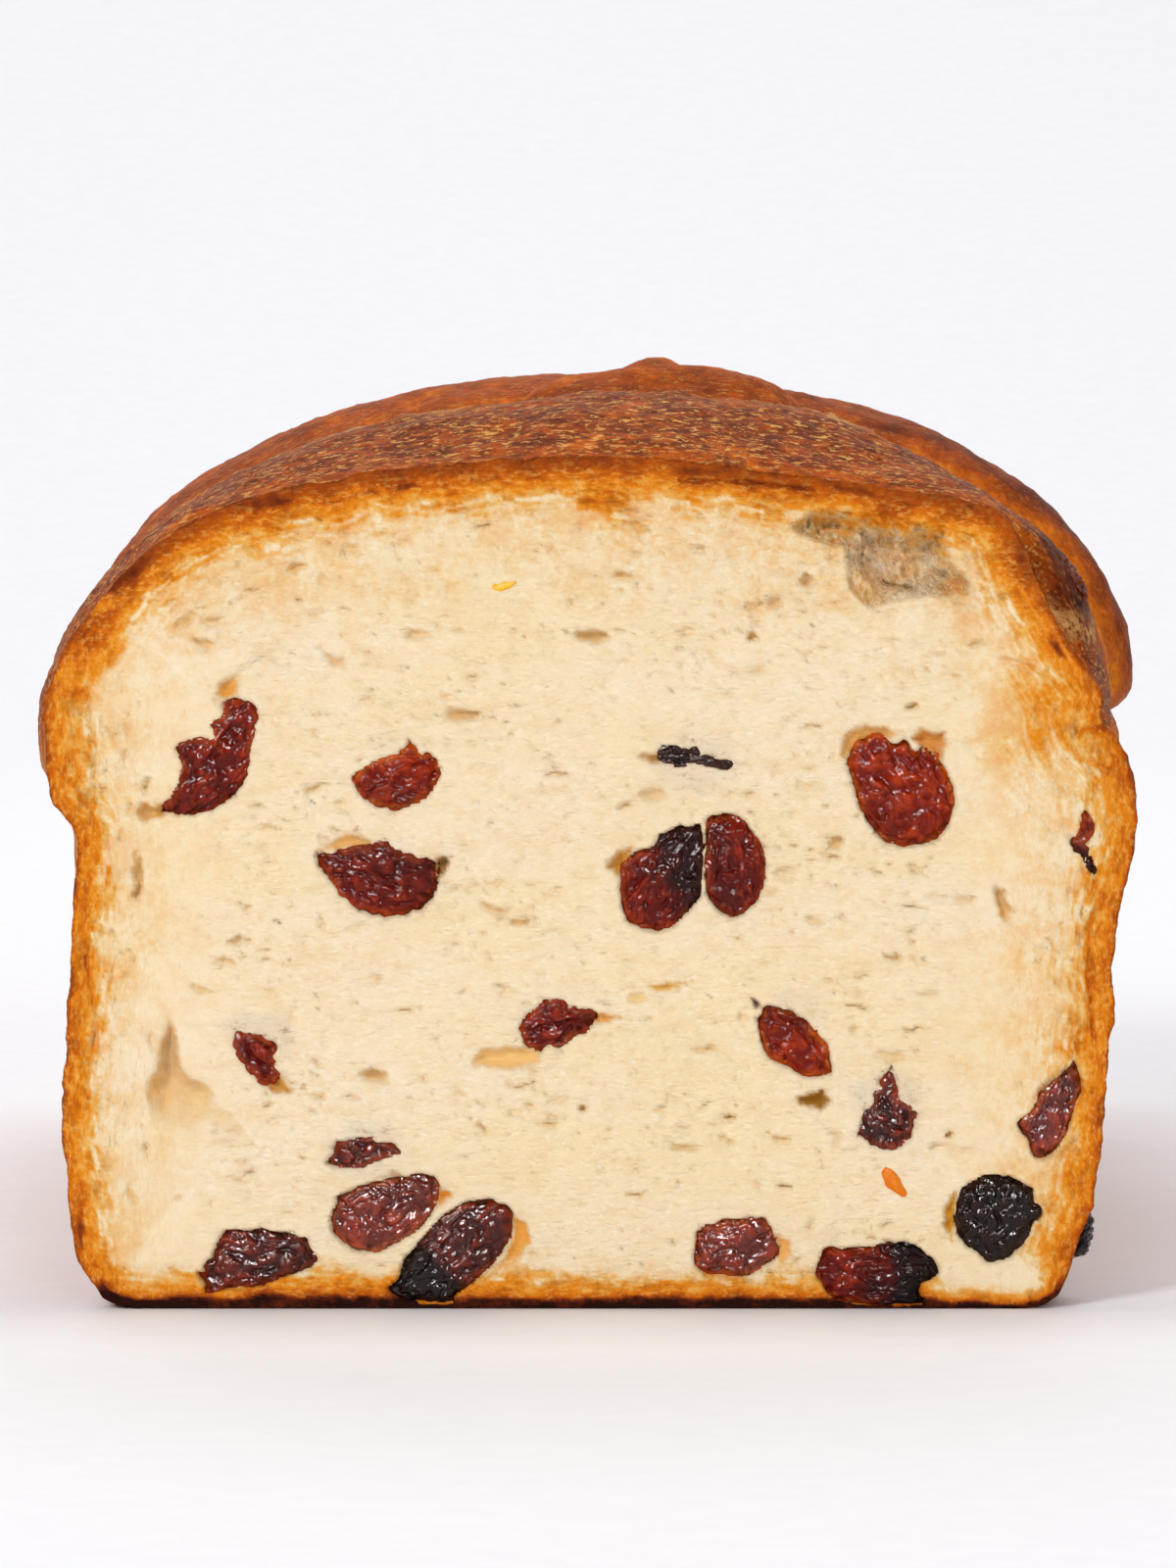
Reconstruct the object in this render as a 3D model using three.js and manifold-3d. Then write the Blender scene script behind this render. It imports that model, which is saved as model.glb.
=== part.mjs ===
// Raisin bread: what is left of a tin loaf once its first slices are gone.
// Millimetres, +Z up. The flat cut face looks along -Y, the tin-shaped end is at +Y,
// and the loaf stands on its flat base.
//
// The loaf is one solid. It is lofted from closed rings around a level axis, and each ring
// is the larger of the tin's straight walls and the lobes of dough that rose over the rim.
// Every raisin that shows is a solid of its own, pressed into a socket that fits it.

import * as THREE from 'three';
import { mergeVertices } from 'three/addons/utils/BufferGeometryUtils.js';
import Module from 'manifold-3d';

const wasm = await Module();
wasm.setup();

// ---- driving dimensions of the loaf --------------------------------------------------------

const LOAF_LENGTH = 176;
const AXIS_HEIGHT = 50;          // the level axis that every ring goes round
const BASE_HALF_WIDTH = 54.5;
const RIM_HALF_WIDTH = 60;
const RIM_HEIGHT = 60;           // the tin's rim, over which the dough spilled
const FLOOR_CORNER = 3;          // softness of the long bottom edges
const REAR_LEAN = 8;             // how far the tin's end wall leans in at the base
const REAR_BULGE = 1.5;
const CUT_REACH = 30;            // depth over which the cut outline turns into the full crown

// The cut face's edge from the lower right corner over the crown to the lower left: a fold of
// crust tucks in at the right shoulder, and a lip hangs over the rim on the left.
const CUT_EDGE = [
  [51.5, -1], [53.5, 2.8], [55.4, 8.0], [57.2, 14.5], [58.1, 24], [58.8, 33], [59.2, 43],
  [60.9, 50.5], [61.4, 56.3], [60.8, 61.3], [59.1, 65.1], [57.3, 67.0], [57.1, 70.2],
  [53.6, 75.8], [50.4, 80.3], [48.8, 84.6], [46.8, 88.9], [42.6, 91.3], [32.6, 92.9],
  [21.6, 94.3], [9, 96.0], [-4.7, 96.2], [-14.7, 95.4], [-25.2, 94.4], [-33, 92.9],
  [-39, 91.4], [-44.6, 89.0], [-50.0, 85.4], [-54.9, 80.4], [-58.9, 74.8], [-61.1, 69.6],
  [-61.4, 64.8], [-61.0, 61.0], [-60.3, 57.4], [-58.2, 54.6], [-57.9, 51.2], [-58.6, 42],
  [-59.2, 31.9], [-59.8, 23], [-59.2, 13.5], [-58.2, 6.4], [-56.3, 2.3], [-53.4, -1],
];

// Lobes of risen dough, each right across the loaf: the depth of its crest, half its length
// and its height, then half its width, the level of its widest place and the fullness of its
// shoulder on each side. A lobe is turned a little askew, as the twisted dough lay in the tin.
const LOBE_UNDERSIDE = 10.5;
const LOBE_SINK = 9;
const LOBE_FLANK_SINK = 0.35;    // share of the sink that is left at the flanks
const LOBE_CREST_FLATNESS = 2.6;
const LOBE_SQUARENESS = 2.15;
const LOBES = [
  { crest: 30, reach: 23, top: 103.2, skew: 4,
    left: { wide: 64.6, level: 63, full: 2.1 }, right: { wide: 60.5, level: 66, full: 2.3 } },
  { crest: 82, reach: 31, top: 105.2, skew: -7,
    left: { wide: 66.2, level: 63, full: 2.15 }, right: { wide: 67.2, level: 67.5, full: 2.3 } },
  { crest: 139, reach: 31, top: 103.4, skew: 6,
    left: { wide: 65.0, level: 64, full: 2.1 }, right: { wide: 66.0, level: 66, full: 2.2 } },
];

// Strands that bulge up through the creases along the middle of the crown.
const STRAND_SINK = 9;
const STRAND_REACH = 0.5;        // strands stay where the crown's direction is steeper than this
const STRAND_FLATNESS = { across: 3.2, along: 2.6 };
const STRANDS = [
  { x: 8.5, y: 54, halfWidth: 23, halfLength: 20, top: 106.9 },
  { x: 7.6, y: 52, halfWidth: 6, halfLength: 8, top: 108.0 },
  { x: -9, y: 110, halfWidth: 20, halfLength: 19, top: 104.8 },
];

// How softly one form of dough runs into the next.
const SOFT_CREASE = { lobes: 2, strands: 1.5, rim: 2.5 };

// The rear end rounds over: how far in and how far down, by direction round the axis.
const REAR_ROUND = { up: 41, side: 15, down: 9 };
const REAR_ROUND_SHARPNESS = 1.6;

const CRUST_BROWN = 0xc27a35;
const CRUST_ROUGHNESS = 0.55;

// ---- how finely the rings are divided ------------------------------------------------------

// Spans round the ring in degrees, finer where the lips hang over the rim.
const RING_SPANS = [
  { from: -47, to: -38, steps: 4 },
  { from: -38, to: -2, steps: 6 },
  { from: -2, to: 24, steps: 9 },
  { from: 24, to: 156, steps: 22 },
  { from: 156, to: 182, steps: 9 },
  { from: 182, to: 218, steps: 6 },
  { from: 218, to: 227, steps: 4 },
  { from: 227, to: 313, steps: 4 },
];
const CUT_EDGE_POINTS = 10;      // along each stretch of the cut edge
const STATIONS = [0, 2.5, 6, 10, 16, 23, 31, 38, 44, 49, 54, 60, 68, 78, 88, 96, 103, 109, 115, 122, 129];
const LAST_STATION = 135;        // where the crown begins to round over, in station units
const REAR_STEPS = 5;
const END_WALL_RINGS = [0.62, 0.28];

// ---- pockets of air cut open in the crumb --------------------------------------------------

// A big bubble under the right shoulder, and a three-cornered tear low on the left. Both are
// plump lobes too, described as the raisins are.
const POCKETS = [
  { at: [33.6, 0, 85.2], length: 21.5, high: 9.2, deep: 9, proud: 6, turn: -19, taper: 0.4, bend: 0.24 },
  { at: [-45.2, 0, 25.8], length: 15, high: 7.6, deep: 3.4, proud: 3, turn: -61, taper: 0.5, bend: -0.16 },
];

// ---- raisins -------------------------------------------------------------------------------

// Each raisin is one or two plump lobes. `at` is its widest place, `length` and `high` its
// size there, `deep` and `proud` how far it goes into the dough and stands out of it. `turn`
// is the lean of its long axis in degrees, `taper` thins one end, `bend` drops its ends by
// that share of half its height and `flat` cuts its upper side down. A raisin in the crust
// has `around` and `y` instead, its direction round the axis and its depth, with the heading
// and pitch that turn it to face outwards.
const SOCKET_GAP = 0.3;
const RAISIN_RIDGE = 0.05;
const RAISIN_RIDGES = 3;
const RIGHT_WALL = { heading: 90 };
const LEFT_WALL = { heading: -90 };
const RIGHT_SHOULDER = { heading: 90, pitch: -36 };
const CROWN = { pitch: -82 };
const REAR_WALL = { heading: 180 };

const SKINS = { amber: 0x7a3a1c, brown: 0x5a2416, purple: 0x42202a, black: 0x1c1514 };
const SKIN_ROUGHNESS = 0.35;

const RAISINS = [
  // upper row of the cut face
  { skin: 'brown', lobes: [
    { at: [-43.2, 0.4, 60.1], length: 11.0, high: 8.0, deep: 3.8, proud: 1.0, turn: 30, taper: -0.1 },
    { at: [-39.9, 0.4, 65.2], length: 8.8, high: 5.2, deep: 3.0, proud: 0.9, turn: 78 },
  ] },
  { skin: 'amber', lobes: [
    { at: [-22.0, 0.3, 60.4], length: 10.4, high: 8.0, deep: 3.5, proud: 1.3, turn: 14, taper: 0.08 },
  ] },
  { skin: 'brown', lobes: [
    { at: [-23.6, 0.5, 50.4], length: 14.6, high: 11.8, deep: 4.2, proud: 1.2, turn: -4, flat: 0.36 },
  ] },
  { skin: 'black', lobes: [
    { at: [11.5, 0.3, 62.7], length: 8.8, high: 2.7, deep: 2.6, proud: 0.6, turn: -5, taper: -0.2 },
  ] },
  { skin: 'purple', lobes: [
    { at: [7.9, 0.3, 48.8], length: 12.8, high: 8.6, deep: 4.0, proud: 1.6, turn: 66 },
  ] },
  { skin: 'brown', lobes: [
    { at: [16.4, 0.3, 50.4], length: 12.3, high: 6.9, deep: 3.8, proud: 1.5, turn: 95 },
  ] },
  { skin: 'amber', lobes: [
    { at: [34.9, 0.3, 58.8], length: 13.3, high: 12.0, deep: 5.0, proud: 1.8, turn: 112 },
  ] },
  { skin: 'black', lobes: [
    { at: [55.4, 0.3, 52.9], length: 7.2, high: 2.9, deep: 2.4, proud: 0.8, turn: 84, bend: 0.06 },
  ] },
  // middle row
  { skin: 'purple', lobes: [
    { at: [-37.4, 0.3, 28.6], length: 7.6, high: 4.6, deep: 2.6, proud: 0.9, turn: 118, taper: -0.15 },
  ] },
  { skin: 'brown', lobes: [
    { at: [-3.7, 0.3, 32.3], length: 9.3, high: 6.0, deep: 3.0, proud: 1.1, turn: 10, taper: -0.25 },
  ] },
  { skin: 'amber', lobes: [
    { at: [23.0, 0.3, 30.6], length: 11.4, high: 6.6, deep: 3.2, proud: 1.3, turn: -46, taper: 0.08 },
  ] },
  { skin: 'purple', lobes: [
    { at: [33.6, 0.3, 20.8], length: 6.8, high: 5.6, deep: 3.0, proud: 1.2, turn: 10 },
    { at: [33.5, 0.3, 23.4], length: 5.4, high: 3.4, deep: 2.4, proud: 0.9, turn: 84 },
  ] },
  { skin: 'purple', lobes: [
    { at: [51.7, 0.3, 22.8], length: 13.0, high: 6.1, deep: 3.4, proud: 1.3, turn: 66, bend: 0.1 },
  ] },
  // lower row, some of them touched by the hot tin
  { skin: 'purple', lobes: [
    { at: [-26.1, 0.3, 18.0], length: 8.6, high: 4.2, deep: 2.4, proud: 0.8, turn: 2, flat: 0.8 },
  ] },
  { skin: 'purple', lobes: [
    { at: [-23.4, 0.3, 10.8], length: 13.8, high: 7.3, deep: 3.8, proud: 1.5, turn: 25, taper: 0.08 },
  ] },
  { skin: 'black', lobes: [
    { at: [-15.8, 0.3, 6.6], length: 16.6, high: 7.8, deep: 4.0, proud: 1.6, turn: 36, taper: 0.12 },
  ] },
  { skin: 'purple', lobes: [
    { at: [-38.0, 0.3, 5.7], length: 13.9, high: 7.5, deep: 3.8, proud: 1.5, turn: 5 },
  ] },
  { skin: 'amber', lobes: [
    { at: [16.5, 0.3, 7.2], length: 10.3, high: 7.4, deep: 3.6, proud: 1.3, turn: 7 },
  ] },
  { skin: 'black', lobes: [
    { at: [28.9, 0.3, 4.7], length: 7.8, high: 6.4, deep: 3.0, proud: 1.1, turn: 24 },
    { at: [34.6, 0.3, 3.7], length: 9.6, high: 7.2, deep: 3.6, proud: 1.5, turn: -8 },
  ] },
  { skin: 'black', lobes: [
    { at: [45.9, 0.3, 10.3], length: 10.7, high: 10.0, deep: 4.4, proud: 1.8, turn: 60 },
  ] },
  // pushed out through the crust just behind the cut
  { skin: 'black', lobes: [
    { around: -37, y: 6.5, length: 8.6, high: 7.4, deep: 3.2, proud: 2.0, turn: 10, ...RIGHT_WALL },
  ] },
  { skin: 'brown', lobes: [
    { around: 31, y: 11, length: 9.4, high: 7.6, deep: 3.2, proud: 1.6, turn: 20, ...RIGHT_SHOULDER },
  ] },
  // pushed out through the crust further back
  { skin: 'brown', lobes: [
    { around: -15, y: 96, length: 12, high: 7.2, deep: 3.4, proud: 1.2, turn: -12, ...RIGHT_WALL },
  ] },
  { skin: 'purple', lobes: [
    { around: 203, y: 58, length: 11, high: 7.4, deep: 3.4, proud: 1.1, turn: 24, ...LEFT_WALL },
  ] },
  { skin: 'black', lobes: [
    { around: 189, y: 131, length: 10, high: 6.6, deep: 3.2, proud: 1.3, turn: -30, ...LEFT_WALL },
  ] },
  { skin: 'brown', lobes: [
    { around: 70, y: 97, length: 12, high: 7.8, deep: 3.4, proud: 1.4, turn: -24, ...CROWN },
  ] },
  { skin: 'black', lobes: [
    { at: [18, 171.6, 32], length: 12, high: 8, deep: 3.4, proud: 1.2, turn: 14, ...REAR_WALL },
  ] },
];

// ---- small helpers -------------------------------------------------------------------------

const radians = THREE.MathUtils.degToRad;
const mix = THREE.MathUtils.lerp;

function smoothMax(a, b, soft) {
  const near = Math.max(soft - Math.abs(a - b), 0);
  return Math.max(a, b) + (near * near) / (4 * soft);
}

function smoothMin(a, b, soft) {
  return -smoothMax(-a, -b, soft);
}

function solidOf(geometry) {
  const bare = geometry.index ? geometry.clone() : geometry;
  bare.deleteAttribute('normal');
  bare.deleteAttribute('uv');
  const merged = mergeVertices(bare, 1e-4);
  const vertProperties = new Float32Array(merged.attributes.position.array);
  const triVerts = new Uint32Array(merged.index.array);
  return new wasm.Manifold(new wasm.Mesh({ numProp: 3, vertProperties, triVerts }));
}

function geometryOf(solid) {
  const mesh = solid.getMesh();
  const geometry = new THREE.BufferGeometry();
  geometry.setAttribute('position', new THREE.BufferAttribute(new Float32Array(mesh.vertProperties), 3));
  geometry.setIndex(new THREE.BufferAttribute(new Uint32Array(mesh.triVerts), 1));
  geometry.computeVertexNormals();
  return geometry;
}

function namedMesh(name, solid, color, roughness) {
  const material = new THREE.MeshStandardMaterial({ color, roughness, metalness: 0 });
  const mesh = new THREE.Mesh(geometryOf(solid), material);
  mesh.name = name;
  return mesh;
}

// ---- the loaf's rings ----------------------------------------------------------------------

// The cut edge as a smooth line, kept as direction and distance from the axis.
function cutEdgeByAngle() {
  const corners = CUT_EDGE.map(([x, z]) => new THREE.Vector3(x, 0, z));
  const line = new THREE.CatmullRomCurve3(corners, false, 'centripetal');
  return line.getPoints(CUT_EDGE.length * CUT_EDGE_POINTS).map((point) => {
    const up = point.z - AXIS_HEIGHT;
    const angle = Math.atan2(up, point.x);
    return {
      angle: angle < -Math.PI / 2 ? angle + 2 * Math.PI : angle,
      radius: Math.hypot(point.x, up),
    };
  });
}

const cutEdge = cutEdgeByAngle();

function cutRadius(angle) {
  const after = cutEdge.findIndex((point) => point.angle >= angle);
  if (after <= 0) {
    return after < 0 ? cutEdge[cutEdge.length - 1].radius : cutEdge[0].radius;
  }
  const low = cutEdge[after - 1];
  const high = cutEdge[after];
  const part = (angle - low.angle) / (high.angle - low.angle);
  return mix(low.radius, high.radius, part);
}

// The tin's leaning wall up to the rim.
function tinRadius(angle) {
  const slope = (RIM_HALF_WIDTH - BASE_HALF_WIDTH) / RIM_HEIGHT;
  const widthAtAxis = BASE_HALF_WIDTH + slope * AXIS_HEIGHT;
  const wall = widthAtAxis / (Math.abs(Math.cos(angle)) - slope * Math.sin(angle));
  const rim = Math.sin(angle) > 0 ? (RIM_HEIGHT - AXIS_HEIGHT) / Math.sin(angle) : Infinity;
  return wall > 0 ? Math.min(wall, rim) : rim;
}

// The outermost point of a lobe's section along one direction, or 0 where it has none.
const SEARCH_FROM = 84;
const SEARCH_TO = 44;
const SEARCH_STEP = 0.25;

function lobeProfile(lobe, angle) {
  const { wide, level, full } = Math.cos(angle) < 0 ? lobe.left : lobe.right;
  for (let radius = SEARCH_FROM; radius > SEARCH_TO; radius -= SEARCH_STEP) {
    const side = Math.abs(radius * Math.cos(angle)) / wide;
    const up = AXIS_HEIGHT + radius * Math.sin(angle) - level;
    const tall = up > 0 ? up / (lobe.top - level) : -up / LOBE_UNDERSIDE;
    if (side ** full + tall ** LOBE_SQUARENESS < 1) {
      return radius;
    }
  }
  return 0;
}

// A lobe sinks away from its crest, and its crest runs a little askew across the loaf.
function lobeRadius(lobe, angle, y) {
  const profile = lobeProfile(lobe, angle);
  if (profile === 0) {
    return 0;
  }
  const crest = lobe.crest + lobe.skew * Math.cos(angle);
  const away = Math.abs(y - crest) / lobe.reach;
  const deep = mix(LOBE_FLANK_SINK, 1, Math.max(Math.sin(angle), 0));
  return profile - LOBE_SINK * deep * away ** LOBE_CREST_FLATNESS;
}

function strandRadius(strand, angle, y) {
  const rise = Math.sin(angle);
  if (rise < STRAND_REACH) {
    return 0;
  }
  const radius = (strand.top - AXIS_HEIGHT) / rise;
  const across = Math.abs(radius * Math.cos(angle) - strand.x) / strand.halfWidth;
  const along = Math.abs(y - strand.y) / strand.halfLength;
  const fall = across ** STRAND_FLATNESS.across + along ** STRAND_FLATNESS.along;
  return radius - STRAND_SINK * fall;
}

function fullRadius(angle, y) {
  let crown = 0;
  for (const lobe of LOBES) {
    crown = smoothMax(crown, lobeRadius(lobe, angle, y), SOFT_CREASE.lobes);
  }
  for (const strand of STRANDS) {
    crown = smoothMax(crown, strandRadius(strand, angle, y), SOFT_CREASE.strands);
  }
  return smoothMax(tinRadius(angle), crown, SOFT_CREASE.rim);
}

// From the cut edge the crust climbs back to the first lobe's crest, and at the floor the ring
// is cut off flat, in every direction that points clearly below level.
const LEVEL = 0.05;

function loafRadius(angle, y) {
  const climb = Math.sin((Math.PI / 2) * Math.min(y / CUT_REACH, 1));
  const radius = mix(cutRadius(angle), fullRadius(angle, Math.max(y, CUT_REACH)), climb);
  const sunk = -Math.sin(angle);
  return sunk > LEVEL ? smoothMin(radius, AXIS_HEIGHT / sunk, FLOOR_CORNER) : radius;
}

function rearRound(angle) {
  const up = Math.max(Math.sin(angle), 0) ** REAR_ROUND_SHARPNESS;
  const down = Math.max(-Math.sin(angle), 0);
  return mix(mix(REAR_ROUND.side, REAR_ROUND.up, up), REAR_ROUND.down, down);
}

// The tin's end wall leans in towards the base, and above the rim it stands upright.
function rearEnd(height) {
  return LOAF_LENGTH - REAR_BULGE - REAR_LEAN * Math.max(1 - height / RIM_HEIGHT, 0);
}

function heightAt(angle, radius) {
  return Math.max(AXIS_HEIGHT + radius * Math.sin(angle), 0);
}

function ringPoint(angle, radius, y) {
  return [radius * Math.cos(angle), y, heightAt(angle, radius)];
}

function skinPoint(angle, y) {
  return ringPoint(angle, loafRadius(angle, y), y);
}

function ringAngles() {
  const angles = [];
  for (const span of RING_SPANS) {
    for (let step = 0; step < span.steps; step += 1) {
      angles.push(radians(mix(span.from, span.to, step / span.steps)));
    }
  }
  return angles;
}

// All rings from the cut face to the rear end, as lists of points.
function loafRings(angles) {
  const straight = (angle) => {
    const rimHeight = heightAt(angle, loafRadius(angle, LOAF_LENGTH - rearRound(angle)));
    return rearEnd(rimHeight) - rearRound(angle);
  };
  const rings = STATIONS.map((station) => angles.map((angle) => {
    const y = straight(angle) * (station / LAST_STATION);
    return skinPoint(angle, y);
  }));
  for (let step = 0; step <= REAR_STEPS; step += 1) {
    const swing = (Math.PI / 2) * (step / REAR_STEPS);
    rings.push(angles.map((angle) => {
      const round = rearRound(angle);
      const start = straight(angle);
      const radius = loafRadius(angle, start) - round * (1 - Math.cos(swing));
      const end = rearEnd(heightAt(angle, radius));
      return ringPoint(angle, radius, mix(start, end, Math.sin(swing)));
    }));
  }
  for (const share of END_WALL_RINGS) {
    rings.push(angles.map((angle) => {
      const radius = (loafRadius(angle, straight(angle)) - rearRound(angle)) * share;
      const bulge = REAR_BULGE * (1 - share * share);
      return ringPoint(angle, radius, rearEnd(heightAt(angle, radius)) + bulge);
    }));
  }
  return rings;
}

function loafSolid() {
  const angles = ringAngles();
  const rings = loafRings(angles);
  const around = angles.length;
  const points = rings.flat(2);
  const triangles = [];
  for (let ring = 0; ring + 1 < rings.length; ring += 1) {
    for (let place = 0; place < around; place += 1) {
      const next = (place + 1) % around;
      const a = ring * around + place;
      const b = ring * around + next;
      const c = a + around;
      const d = b + around;
      triangles.push(a, c, b, b, c, d);
    }
  }
  const contour = rings[0].map(([x, , z]) => new THREE.Vector2(x, z));
  for (const corner of THREE.ShapeUtils.triangulateShape(contour, [])) {
    triangles.push(...corner);
  }
  const last = (rings.length - 1) * around;
  const pole = points.length / 3;
  points.push(0, rearEnd(AXIS_HEIGHT) + REAR_BULGE, AXIS_HEIGHT);
  for (let place = 0; place < around; place += 1) {
    triangles.push(last + place, pole, last + ((place + 1) % around));
  }
  const geometry = new THREE.BufferGeometry();
  geometry.setAttribute('position', new THREE.Float32BufferAttribute(points, 3));
  geometry.setIndex(triangles);
  return solidOf(geometry);
}

// ---- raisins and pockets -------------------------------------------------------------------

// A plump lobe: a ball drawn out to its size, ridged lengthwise, tapered, bent and flattened.
const LOBE_AROUND = 8;
const LOBE_ALONG = 6;

function plumpSolid(lobe, grow) {
  const { length, high, deep, proud, taper = 0, bend = 0, flat = 1 } = lobe;
  const geometry = new THREE.SphereGeometry(1, LOBE_AROUND, LOBE_ALONG);
  geometry.rotateZ(-Math.PI / 2);
  const position = geometry.attributes.position;
  for (let i = 0; i < position.count; i += 1) {
    const along = position.getX(i);
    const side = Math.atan2(position.getZ(i), position.getY(i));
    const ridge = 1 + RAISIN_RIDGE * Math.cos(RAISIN_RIDGES * side + length);
    const girth = ridge * (1 + taper * along);
    const tall = Math.min(position.getZ(i) * girth, flat) - bend * along * along;
    position.setXYZ(
      i,
      along * (length / 2 + grow),
      position.getY(i) * girth * ((position.getY(i) < 0 ? proud : deep) + grow),
      tall * (high / 2 + grow),
    );
  }
  const { turn = 0, heading = 0, pitch = 0 } = lobe;
  const at = lobe.at ?? skinPoint(radians(lobe.around), lobe.y);
  geometry.rotateY(-radians(turn));
  geometry.rotateX(radians(pitch));
  geometry.rotateZ(radians(heading));
  geometry.translate(...at);
  return solidOf(geometry);
}

function raisinSolid(raisin, grow) {
  return raisin.lobes
    .map((lobe) => plumpSolid(lobe, grow))
    .reduce((whole, lobe) => whole.add(lobe));
}

// ---- assembly ------------------------------------------------------------------------------

let loaf = loafSolid();
for (const pocket of POCKETS) {
  loaf = loaf.subtract(plumpSolid(pocket, 0));
}
for (const raisin of RAISINS) {
  loaf = loaf.subtract(raisinSolid(raisin, SOCKET_GAP));
}

const bread = new THREE.Group();
bread.add(namedMesh('loaf', loaf, CRUST_BROWN, CRUST_ROUGHNESS));
RAISINS.forEach((raisin, index) => {
  const name = `raisin_${String(index + 1).padStart(2, '0')}`;
  bread.add(namedMesh(name, raisinSolid(raisin, 0), SKINS[raisin.skin], SKIN_ROUGHNESS));
});

// The origin is the middle of the base.
const extent = new THREE.Box3().setFromObject(bread);
const middle = extent.getCenter(new THREE.Vector3());
bread.position.set(-middle.x, -middle.y, -extent.min.z);

export default bread;
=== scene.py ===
import itertools
import math

import bpy
import numpy as np
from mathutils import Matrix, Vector


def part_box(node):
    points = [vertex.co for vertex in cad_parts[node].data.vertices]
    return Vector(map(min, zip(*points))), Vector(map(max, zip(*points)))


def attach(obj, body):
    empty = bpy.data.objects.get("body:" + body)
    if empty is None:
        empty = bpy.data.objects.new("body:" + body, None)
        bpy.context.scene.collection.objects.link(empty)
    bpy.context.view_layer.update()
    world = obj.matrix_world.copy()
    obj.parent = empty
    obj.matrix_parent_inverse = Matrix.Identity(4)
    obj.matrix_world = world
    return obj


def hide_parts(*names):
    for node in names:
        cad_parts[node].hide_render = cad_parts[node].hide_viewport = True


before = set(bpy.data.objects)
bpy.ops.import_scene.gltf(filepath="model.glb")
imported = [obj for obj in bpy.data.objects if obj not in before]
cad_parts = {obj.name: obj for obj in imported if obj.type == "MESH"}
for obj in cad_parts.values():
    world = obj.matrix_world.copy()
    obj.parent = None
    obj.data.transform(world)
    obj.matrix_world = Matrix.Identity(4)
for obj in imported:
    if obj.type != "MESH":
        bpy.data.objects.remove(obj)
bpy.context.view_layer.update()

# ---- camera, backdrop and lights -------------------------------------------------------------
# A level look at the cut face from just above the crown, as across a table. The floor is a pale
# sheet of paper that sweeps up behind the loaf, lit by large soft boxes and a bright room.

MM = 0.001
CUT_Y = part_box("loaf")[0].y          # the flat cut face
MIDDLE_X = -0.43 * MM                # the loaf's long axis, a hair left of the frame's middle

CAMERA_DISTANCE = 620 * MM
CAMERA_HEIGHT = 105 * MM
CAMERA_DIP = math.radians(4.19)
CAMERA_LENS = 126.9
CAMERA_ASIDE = 0.33 * MM             # how far it stands left of the loaf's axis

camera_data = bpy.data.cameras.new("camera")
camera_data.lens = CAMERA_LENS
camera_data.sensor_width = 36
camera_data.clip_start = 0.01
camera = bpy.data.objects.new("camera", camera_data)
bpy.context.collection.objects.link(camera)
camera.location = (MIDDLE_X - CAMERA_ASIDE, CUT_Y - CAMERA_DISTANCE, CAMERA_HEIGHT)
camera.rotation_euler = (math.pi / 2 - CAMERA_DIP, 0, 0)
bpy.context.scene.camera = camera
bpy.context.scene.view_settings.view_transform = "Standard"


def shader_node(tree, kind, sockets=None, **fields):
    """Adds a shader node. Sockets are its inputs, as values or as other nodes' outputs."""
    made = tree.nodes.new(kind)
    for field, value in fields.items():
        setattr(made, field, value)
    for name, value in (sockets or {}).items():
        if isinstance(value, bpy.types.NodeSocket):
            tree.links.new(value, made.inputs[name])
        else:
            made.inputs[name].default_value = value
    return made


def new_material(name):
    """A new material, with its node tree and its Principled shader."""
    made = bpy.data.materials.new(name)
    made.use_nodes = True
    return made, made.node_tree, made.node_tree.nodes["Principled BSDF"]


def linear(shares):
    """Shares of full light as a screen shows them, as a shader reckons them."""
    return np.where(shares > 0.04045, ((shares + 0.055) / 1.055) ** 2.4, shares / 12.92)


def colour(red, green, blue):
    """A colour given as 0 to 255 on screen, as a shader's linear one."""
    return (*linear(np.array((red, green, blue)) / 255).tolist(), 1)


SWEEP_WIDTH = 5.0
SWEEP_FRONT = -1.6
SWEEP_BACK = 1.5
SWEEP_HEIGHT = 2.2
SWEEP_RADIUS = 0.7

for thing in bpy.context.selected_objects:
    thing.select_set(False)
bpy.ops.mesh.primitive_plane_add(size=1)
sweep = bpy.context.object
sweep.name = "paper_sweep"
sweep.data.transform(sweep.matrix_world.inverted())
for corner in sweep.data.vertices:
    corner.co.x *= SWEEP_WIDTH
    corner.co.y = SWEEP_FRONT if corner.co.y < 0 else SWEEP_BACK
bpy.ops.object.mode_set(mode="EDIT")
bpy.ops.mesh.select_all(action="DESELECT")
bpy.ops.object.mode_set(mode="OBJECT")
for edge in sweep.data.edges:
    edge.select = all(sweep.data.vertices[i].co.y > 0 for i in edge.vertices)
bpy.ops.object.mode_set(mode="EDIT")
bpy.ops.mesh.select_mode(type="EDGE")
bpy.ops.mesh.extrude_region_move(TRANSFORM_OT_translate={"value": (0, 0, SWEEP_HEIGHT)})
bpy.ops.mesh.select_all(action="DESELECT")
bpy.ops.object.mode_set(mode="OBJECT")
for edge in sweep.data.edges:
    ends = [sweep.data.vertices[i].co for i in edge.vertices]
    edge.select = all(end.y > 0 and end.z < 0.01 for end in ends)
bpy.ops.object.mode_set(mode="EDIT")
bpy.ops.mesh.bevel(offset=SWEEP_RADIUS, segments=24)
bpy.ops.object.mode_set(mode="OBJECT")
bpy.ops.object.shade_smooth()

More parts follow.
